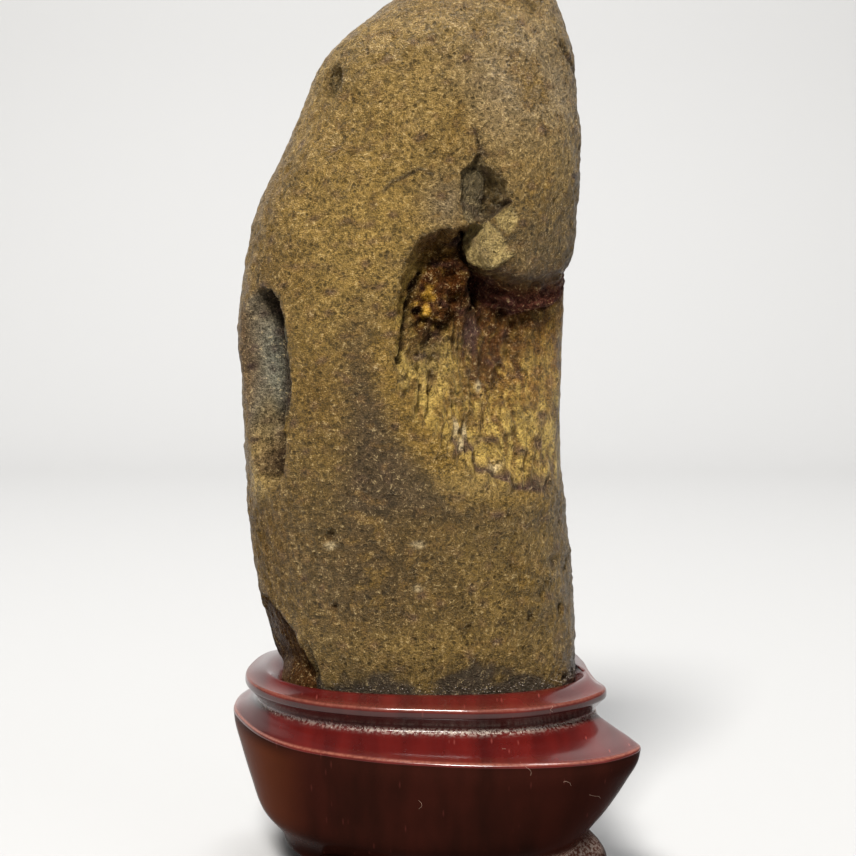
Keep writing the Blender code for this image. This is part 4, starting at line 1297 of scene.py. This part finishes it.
# Share of the way from the belly's outline to the rim's.
FLARE_LEVELS = [
    (0.0, BELLY, 8), (0.38, BELLY + 6.0, 8), (0.74, BELLY + 13.0, 8), (0.96, RIM_LOW - 2.2, 6),
    (0.99, RIM_LOW - 0.5, 4),
]
# Inset from the rim's outline.
RIM_LEVELS = [(0.0, RIM_LOW, 4), (0.12, RIM_LOW + 0.42, 4)]
# Share of the way from the ledge's outer edge to the bottom of the cove.
LEDGE_LEVELS = [
    (0.0, RIM_TOP - 0.1, 4), (0.08, RIM_TOP + 0.25, 12), (0.55, 0.5 * (RIM_TOP + WAIST) - 0.1, 8),
    (0.94, WAIST - 0.35, 5), (1.0, WAIST + 0.2, 5),
]
# Inset from the collar's outline.
COLLAR_LEVELS = [
    (0.9 * WAIST_INSET, WAIST + 1.0, 5), (0.55 * WAIST_INSET, WAIST + 2.1, 5), (0.55, COLLAR_FACE_LOW, 4),
    (0.08, COLLAR_FACE_LOW + 0.5, 5), (0.0, COLLAR_FACE_LOW + 1.2, 5), (0.06, COLLAR_TOP - 0.7, 4),
    (0.3, COLLAR_TOP - 0.2, 4), (0.9, COLLAR_TOP, 8),
]
# Height of the stone's section that the socket follows there, and the gap round it.
SOCKET_LEVELS = [
    (COLLAR_TOP, SOCKET_GAP + 0.5, COLLAR_TOP + 0.1, 4), (COLLAR_TOP - 0.4, SOCKET_GAP, COLLAR_TOP - 0.6, 4),
    (42.0, SOCKET_GAP, 42.0, 3), (39.4, SOCKET_GAP, 39.4, 3), (39.2, -3.0, SOCKET_FLOOR, 0),
]
FOOT_SAMPLES = 400


def inset(ring, distance):
    """A ring moved inwards by a distance, square to itself."""
    along = np.roll(ring, -1, axis=0) - np.roll(ring, 1, axis=0)
    along /= np.linalg.norm(along, axis=1)[:, None]
    return ring + np.stack([-along[:, 1], along[:, 0]], 1) * distance


def socket_ring(places, height, gap):
    """The stone's own section at a height, opened by a gap."""
    rises = np.linspace(0.0, 0.5, FOOT_SAMPLES)
    heights = stone_base(np.zeros(FOOT_SAMPLES), rises)[0][:, 2]
    rise = np.interp(height, heights, rises)
    ring = stone_base(2 * pi * places, np.full(len(places), rise))[0][:, :2]
    return inset(ring, -gap)


def stand_levels(places):
    """The stand's levels from the underside over the rim and collar into the socket, as rings."""
    outlines = (BASE_OUTLINE, BELLY_OUTLINE, RIM_OUTLINE, COLLAR_OUTLINE)
    base, belly, rim, collar = (closed_curve(outline, places) for outline in outlines)
    edge = inset(rim, LEDGE_INSET)
    cove = inset(collar, WAIST_INSET)
    levels = [(inset(base, gap), height, rows) for gap, height, rows in BASE_LEVELS]
    levels += [((1.0 - share) * belly + share * rim, height, rows) for share, height, rows in FLARE_LEVELS]
    levels += [(inset(rim, gap), height, rows) for gap, height, rows in RIM_LEVELS]
    levels += [((1.0 - share) * edge + share * cove, height, rows) for share, height, rows in LEDGE_LEVELS]
    levels += [(inset(collar, gap), height, rows) for gap, height, rows in COLLAR_LEVELS]
    levels += [(socket_ring(places, at, gap), height, rows) for at, gap, height, rows in SOCKET_LEVELS]
    return levels


print(f"the bowl's flare has {len(FLARE_LEVELS)} levels and the collar {len(COLLAR_LEVELS)}")

# %% Loft the bowl
STAND_COLUMNS = 420


def make_bowl():
    """The surface through the levels: a Hermite curve along each column, with the rows each asks for."""
    flat_rings, heights, rows = zip(*stand_levels(np.arange(STAND_COLUMNS) / STAND_COLUMNS))
    rings = np.array([np.column_stack([ring, np.full(len(ring), height)])
                      for ring, height in zip(flat_rings, heights)])
    strides = np.linalg.norm(np.diff(rings, axis=0), axis=2).mean(1)
    knots = np.concatenate([[0.0], np.cumsum(strides)])
    stops = [np.linspace(low, high, count, endpoint=False)
             for low, high, count in zip(knots, knots[1:], rows)]
    return through(knots, rings, np.concatenate([*stops, knots[-1:]]))


bowl_rings = make_bowl()
bowl_points = with_poles(bowl_rings)
bowl_faces = closed_grid_faces(len(bowl_rings), STAND_COLUMNS)
print(f"bowl: {len(bowl_rings)} rings of {STAND_COLUMNS} points")

# %% [markdown]
# ## Feet
#
# Four low feet swell a little over the table and run up into the bowl's underside. They belong to
# the same block, so they are made as closed forms of their own and then joined to the bowl by a
# Boolean union, which leaves the crisp crease that a gouge leaves there.

# %% Feet and the union
# Place of each foot, and half of its size outwards and along the bowl's edge.
FEET = [(29.0, -8.0, 8.0, 10.5), (19.0, 18.5, 7.0, 8.5), (-24.0, 16.0, 7.0, 8.5), (-16.5, -15.5, 6.0, 7.5)]
# Height and swell of a foot's side, from the sole up into the bowl.
FOOT_PROFILE = [(0.0, 0.0), (0.7, 0.9), (2.6, 1.8), (5.4, 2.0), (8.0, 0.6), (10.0, -1.2), (12.0, -3.2)]
FOOT_COLUMNS = 96
FOOT_ROWS = 40


def make_foot(number, x, y, half_out, half_along):
    """One foot: an oval whose half sizes grow by the profile's swell, turned to point outwards."""
    around = 2 * pi * np.arange(FOOT_COLUMNS) / FOOT_COLUMNS
    away = np.arctan2(y, x)
    stops = np.linspace(0, len(FOOT_PROFILE) - 1, FOOT_ROWS)
    height, swell = through(np.arange(len(FOOT_PROFILE)), FOOT_PROFILE, stops).T[..., None]
    out = (half_out + swell) * np.cos(around)
    along = (half_along + swell) * np.sin(around)
    foot_x = x + out * np.cos(away) - along * np.sin(away)
    foot_y = y + out * np.sin(away) + along * np.cos(away)
    foot_z = np.broadcast_to(np.maximum(height, 0.0), foot_x.shape)
    points = with_poles(np.stack([foot_x, foot_y, foot_z], -1))
    return make_piece(f"foot_{number}", points, closed_grid_faces(FOOT_ROWS, FOOT_COLUMNS), None)


def join_on(piece, others):
    """Joins the others on by Boolean union, applies it, and removes them."""
    for other in others:
        union = piece.modifiers.new(other.name, "BOOLEAN")
        union.operation = "UNION"
        union.solver = "MANIFOLD"
        union.object = other
    graph = bpy.context.evaluated_depsgraph_get()
    whole = bpy.data.meshes.new_from_object(piece.evaluated_get(graph), depsgraph=graph)
    piece.modifiers.clear()
    piece.data = whole
    for other in others:
        bpy.data.objects.remove(other)


stand = make_piece("carved_stand", bowl_points, bowl_faces, None)
join_on(stand, [make_foot(number, *foot) for number, foot in enumerate(FEET)])
print(f"stand: {len(stand.data.polygons)} faces")

# %% [markdown]
# ## Finish of the stand
#
# Rosewood is dark red brown with long open pores. The stand was lacquered and rubbed to a soft
# shine, so its top needs a coat over the coloured wood. Under the rim and in the cove the same wood
# is painted darker and duller, as shade: three finishes share one set of nodes. Handling has paled
# the edges, and dust lies in the cove; both are also painted paler as highlights. A painted
# reflection warms the bowl's left side. The grain runs from front to back, so the patterns are
# squeezed across it and drawn out along it.

# %% Rosewood colours and settings
REFLECTED_WARMTH = (0.105, 0.0260, 0.0095)
DUST = (0.50, 0.41, 0.34)
WORN_EDGE_AND_HIGHLIGHT = (0.270, 0.092, 0.060)
PORE_RED = (0.30, 0.075, 0.060)
TOP = {
    "red": (0.094, 0.0068, 0.0052), "dark": (0.042, 0.0036, 0.0032),
    "specular": 0.30, "coat": 0.40, "pore_show": 0.40, "bend": 1.5,
}
# The cove's finish: the top's wood painted darker, as shade on the collar's concave face.
SHADED_COVE = {
    "red": (0.050, 0.0120, 0.0100), "dark": (0.030, 0.0080, 0.0070),
    "specular": 0.35, "coat": 0.20, "pore_show": 0.20, "bend": 1.5,
}
# The flank's finish: the same wood painted darker and duller, as shade under the rim.
SHADED_FLANK = {
    "red": (0.028, 0.0068, 0.0044), "dark": (0.015, 0.0048, 0.0032),
    "specular": 0.02, "coat": 0.0, "pore_show": 0.10, "bend": 1.15,
}
GRAIN_SCALE = (1.0, 0.12, 0.30)
PORE_SCALE = (1.0, 0.22, 0.22)
STREAKS = (150.0, 4.0, 0.5)
FLECKING = (1500.0, 2.0, 0.6)
PORES_PER_METRE = 900.0
BANDING = (0.36, 0.66, 0.0, 1.0)
PORE_EDGE = (0.05, 0.22)
PORE_OPEN = (0.72, 0.80, 0.0, 1.0)
EDGE_BREAKUP = (0.35, 0.6, 0.45, 0.95)
DUST_SETTLED = (0.44, 0.60, 0.05, 1.0)
LACQUER_ROUGHNESS = 0.22
DUST_ROUGHNESS = 0.9
COAT_ROUGHNESS = 0.10
PORE_BUMP = 0.25
PORE_BUMP_HEIGHT = 0.0001
print("red of the top, the cove and the flank:", TOP["red"][0], SHADED_COVE["red"][0], SHADED_FLANK["red"][0])

# %% Rosewood
def grey(value):
    """A colour with the same amount of red, green and blue."""
    return (value, value, value, 1.0)


def rosewood(name, red, dark, specular, coat, pore_show, bend):
    """Lacquered rosewood with streaks, open pores, worn edges, dust, painted highlights and a painted
    reflection.
    """
    material, tree, shader, place = new_finish(name)
    streak = clouds(tree, squeezed(tree, place, GRAIN_SCALE), *STREAKS)
    pore_distance, pore_own, _ = cells(tree, squeezed(tree, place, PORE_SCALE), PORES_PER_METRE)
    fleck = clouds(tree, place, *FLECKING)

    colour = blend_colours(tree, remap(tree, streak, *BANDING), (*red, 1.0), (*dark, 1.0))
    # Painted reflection: a warm orange on the bowl's left side.
    colour = blend_colours(tree, stored(tree, "painted_reflection"), colour, (*REFLECTED_WARMTH, 1.0))
    opening = remap(tree, pore_distance, *PORE_EDGE, pore_show, 0.0)
    opening = worked_out(tree, "MULTIPLY", opening, remap(tree, pore_own, *PORE_OPEN))
    colour = blend_colours(tree, opening, colour, (*PORE_RED, 1.0))
    # The paler edges: wear, and a painted highlight along the rim's edge and the collar's top.
    rubbed_and_highlit = worked_out(tree, "MULTIPLY", stored(tree, "worn"), remap(tree, fleck, *EDGE_BREAKUP))
    colour = blend_colours(tree, rubbed_and_highlit, colour, (*WORN_EDGE_AND_HIGHLIGHT, 1.0))
    # Dust, and in the cove's band also a painted highlight.
    dust_and_highlit = worked_out(tree, "MULTIPLY", stored(tree, "dust_and_highlight"), remap(tree, fleck, *DUST_SETTLED))
    colour = blend_colours(tree, dust_and_highlit, colour, (*DUST, 1.0))
    roughness = blend_colours(tree, dust_and_highlit, grey(LACQUER_ROUGHNESS), grey(DUST_ROUGHNESS))
    bump = add_node(tree, "ShaderNodeBump", {"invert": True}, Height=opening, Strength=PORE_BUMP)
    bump.inputs["Distance"].default_value = PORE_BUMP_HEIGHT
    plug(tree, shader.inputs["Base Color"], colour)
    plug(tree, shader.inputs["Roughness"], roughness)
    plug(tree, shader.inputs["Normal"], bump.outputs["Normal"])
    plug(tree, shader.inputs["Specular IOR Level"], specular)
    plug(tree, shader.inputs["IOR"], bend)
    plug(tree, shader.inputs["Coat Weight"], coat)
    plug(tree, shader.inputs["Coat Roughness"], COAT_ROUGHNESS)
    return material


stand.data.materials.clear()
stand.data.materials.append(rosewood("rosewood_top", **TOP))
stand.data.materials.append(rosewood("rosewood_flank_shaded", **SHADED_FLANK))
stand.data.materials.append(rosewood("rosewood_cove_shaded", **SHADED_COVE))
print("stand finishes:", ", ".join(stand.data.materials.keys()))

# %% Where the stand is dusty and worn, and where light and shade are painted on it
# Heights between which the faces take the cove's darker finish, as painted shade. Below the rim they take the
# flank's, also painted shade.
COVE_FROM = WAIST + 0.7
COVE_TO = COLLAR_FACE_LOW + 1.6
# Height and reach of each band of dust or wear. The cove's dust and the two bands of wear are partly painted
# highlights.
COVE_DUST_AND_HIGHLIGHT = (WAIST + 0.1, 0.50)
CREASE_DUST = (8.6, 1.6)
RIM_WEAR_AND_HIGHLIGHT = (RIM_LOW + 0.60, 0.20)
COLLAR_WEAR_AND_HIGHLIGHT = (COLLAR_TOP - 0.35, 0.3)
DUSTIEST = (6.0, 20.0)
FRONT_DEPTH = 30.0
SHARPEST_SMOOTH = radians(40)


def stand_shares(points):
    """Dust, wear and painted light at points in millimetres, from their height and place round the front.

    Each is a bell of the height times soft steps across and back. The cove's dust and the two bands of
    wear are partly painted highlights, and the painted reflection lies on the left.
    """
    x, y, z = points.T
    front = smooth_step(0.5 - y / FRONT_DEPTH)
    # The cove's band of dust, which is also a painted highlight.
    cove = bell(z, *COVE_DUST_AND_HIGHLIGHT) * (0.2 + 0.8 * front) * (0.30 + 0.60 * bell(x, *DUSTIEST))
    creases = bell(z, *CREASE_DUST) * rising(x, 14.0, 8.0) * falling(y, -4.0, 8.0)
    edges = 0.85 * bell(z, *RIM_WEAR_AND_HIGHLIGHT) + 0.6 * bell(z, *COLLAR_WEAR_AND_HIGHLIGHT)
    # Painted reflection: a warm orange on the left of the bowl, from above the feet to just under the rim.
    painted_reflection = 0.8 * falling(x, -24.0, 14.0) * falling(z, RIM_LOW + 1.0, 5.0) * rising(z, 7.0, 8.0)
    return np.clip(cove + 0.9 * creases, 0.0, 1.0), np.clip(edges + 0.7 * creases, 0.0, 1.0), painted_reflection


def mesh_values(items, name):
    """The three numbers of each vertex or face under a name, moved to millimetres in the stone's place."""
    values = np.empty(3 * len(items), np.float32)
    items.foreach_get(name, values)
    return values.reshape(-1, 3).astype(float) / MM + CENTRE


stand_points = mesh_values(stand.data.vertices, "co")
for name, values in zip(("dust_and_highlight", "worn", "painted_reflection"), stand_shares(stand_points)):
    store_share(stand, name, values)
face_heights = mesh_values(stand.data.polygons, "center")[:, 2]
cove_faces = (face_heights > COVE_FROM) & (face_heights < COVE_TO)
# Painted shade: faces under the rim take the flank's darker finish, those of the collar's concave face the
# cove's.
finish_index = np.where(face_heights < RIM_LOW, 1, np.where(cove_faces, 2, 0))
stand.data.polygons.foreach_set("material_index", finish_index.astype(np.int32))
stand.data.shade_smooth()
stand.data.set_sharp_from_angle(angle=SHARPEST_SMOOTH)
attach(stand, "root")
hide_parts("stand")
print("faces on the top, the flank and the cove:", np.bincount(finish_index))

# %% [markdown]
# ## Dust
#
# A cloth does not reach into the cove or round the stone's foot, so crumbs of dust stay there. Each
# crumb is an octahedron with uneven corners, a few hundredths to a few tenths of a millimetre across.
# The crumbs of one place are one mesh, set on points of the surface that are picked by their share
# of dust, so none floats.

# %% Crumbs
COVE_CRUMBS = 1300
FOOT_CRUMBS = 420
COVE_CRUMB_SIZES = (0.04, 0.15)
FOOT_CRUMB_SIZES = (0.03, 0.11)
CRUMB_SCATTER = 0.10
CRUMB_UNEVENNESS = (0.6, 1.3)
CRUMB_SEED = 7
CRUMB_CORNERS = np.array([[1, 0, 0], [0, 1, 0], [-1, 0, 0], [0, -1, 0], [0, 0, 1], [0, 0, -1]], float)
CRUMB_FACES = np.array([
    [0, 1, 4], [1, 2, 4], [2, 3, 4], [3, 0, 4], [1, 0, 5], [2, 1, 5], [3, 2, 5], [0, 3, 5],
])
DUST_DARK = (0.26, 0.20, 0.16, 1.0)
DUST_PALE = (0.74, 0.64, 0.54, 1.0)
DUST_TONES = (1200.0, 1.0)
CRUMB_ROUGHNESS = 0.7


def make_crumbs(name, ground, share, count, sizes, material):
    """Crumbs on points of the ground, picked with the given share as their odds."""
    rng = np.random.default_rng(CRUMB_SEED)
    home = ground[rng.choice(len(ground), count, p=share / share.sum())]
    home = home + rng.normal(0.0, CRUMB_SCATTER, home.shape)
    size = rng.uniform(*sizes, (count, 1, 1))
    uneven = rng.uniform(*CRUMB_UNEVENNESS, (count, len(CRUMB_CORNERS), 1))
    points = home[:, None, :] + CRUMB_CORNERS * size * uneven
    faces = CRUMB_FACES + len(CRUMB_CORNERS) * np.arange(count)[:, None, None]
    crumbs = make_piece(name, points.reshape(-1, 3), faces.reshape(-1, 3).tolist(), material)
    crumbs.data.shade_flat()
    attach(crumbs, "root")


def cove_dust():
    """Pale dust, a little lighter or darker from crumb to crumb."""
    material, tree, shader, place = new_finish("cove_dust")
    colour = blend_colours(tree, clouds(tree, place, *DUST_TONES), DUST_DARK, DUST_PALE)
    plug(tree, shader.inputs["Base Color"], colour)
    plug(tree, shader.inputs["Roughness"], CRUMB_ROUGHNESS)
    return material


dust_finish = cove_dust()
cove_share = stand_shares(bowl_points)[0] ** 2.0
make_crumbs("cove_crumbs", bowl_points, cove_share, COVE_CRUMBS, COVE_CRUMB_SIZES, dust_finish)
across, deep, high = skin_points.T
foot_share = bell(high, 46.2, 1.1) * smooth_step(0.5 - deep / 20.0) * rising(across, -26.0, 20.0)
make_crumbs("foot_crumbs", skin_points, foot_share, FOOT_CRUMBS, FOOT_CRUMB_SIZES, dust_finish)
print(f"crumbs: {COVE_CRUMBS} in the cove and {FOOT_CRUMBS} at the stone's foot")

# %% [markdown]
# ## Lint
#
# A few hairs of lint cling to the lacquer. A hair is a ring of six points carried along a smooth
# route. The route is given by places round the bowl and heights up it, so that every point of it
# lies on the wood.

# %% Lint
# Each stop of a hair's route: its place round the bowl, from 0 to 1, and its height.
LINT = [
    [(0.079, 35.2), (0.083, 34.5), (0.087, 33.6), (0.089, 32.6)],
    [(0.121, 30.8), (0.125, 31.0), (0.129, 30.5), (0.132, 29.8)],
    [(0.160, 27.0), (0.168, 26.4), (0.178, 26.0), (0.184, 25.4)],
    [(0.124, 44.2), (0.123, 43.8), (0.122, 43.3), (0.124, 42.8)],
    [(0.991, 26.4), (0.993, 25.7), (0.992, 25.0), (0.990, 24.4)],
    [(0.066, 36.8), (0.067, 36.7), (0.069, 36.7), (0.070, 36.6)],
]
LINT_RADIUS = 0.020
LINT_STEPS = 24
LINT_SIDES = 6
LINT_COLOUR = (0.36, 0.24, 0.17)
LINT_ROUGHNESS = 0.6
TO_THE_FRONT = [0.0, -1.0, 0.3]


def bowl_at(place, height):
    """The point on the outside of the bowl at a place round it and a height up it."""
    column = bowl_rings[:, int(round(place * STAND_COLUMNS)) % STAND_COLUMNS]
    column = column[:column[:, 2].argmax()]
    return [np.interp(height, column[:, 2], column[:, axis]) for axis in range(3)]


def unit(vectors):
    """Vectors made one long."""
    return vectors / np.linalg.norm(vectors, axis=1)[:, None]


def hair(route):
    """A thin tube: rings square to a smooth line through the route's points, half sunk in the wood."""
    knots = np.arange(len(route))
    stops = np.linspace(0, knots[-1], LINT_STEPS)
    line = through(knots, [bowl_at(*stop) for stop in route], stops)
    along = unit(np.gradient(line, axis=0))
    side = unit(np.cross(along, TO_THE_FRONT))
    lift = np.cross(side, along)
    lift *= -np.sign(lift[:, 1:2])
    around = 2 * pi * np.arange(LINT_SIDES)[None, :, None] / LINT_SIDES
    ring = np.cos(around) * side[:, None] + np.sin(around) * np.cross(along, side)[:, None]
    return with_poles((line + 0.5 * LINT_RADIUS * lift)[:, None] + LINT_RADIUS * ring)


hairs = np.array([hair(route) for route in LINT])
one_hair = closed_grid_faces(LINT_STEPS, LINT_SIDES)
hair_faces = [[corner + number * len(hairs[0]) for corner in face]
              for number in range(len(LINT)) for face in one_hair]
lint_finish = plain_finish("lint", LINT_COLOUR, LINT_ROUGHNESS)
lint = make_piece("lint", hairs.reshape(-1, 3), hair_faces, lint_finish)
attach(lint, "root")
print(f"lint: {len(LINT)} hairs")
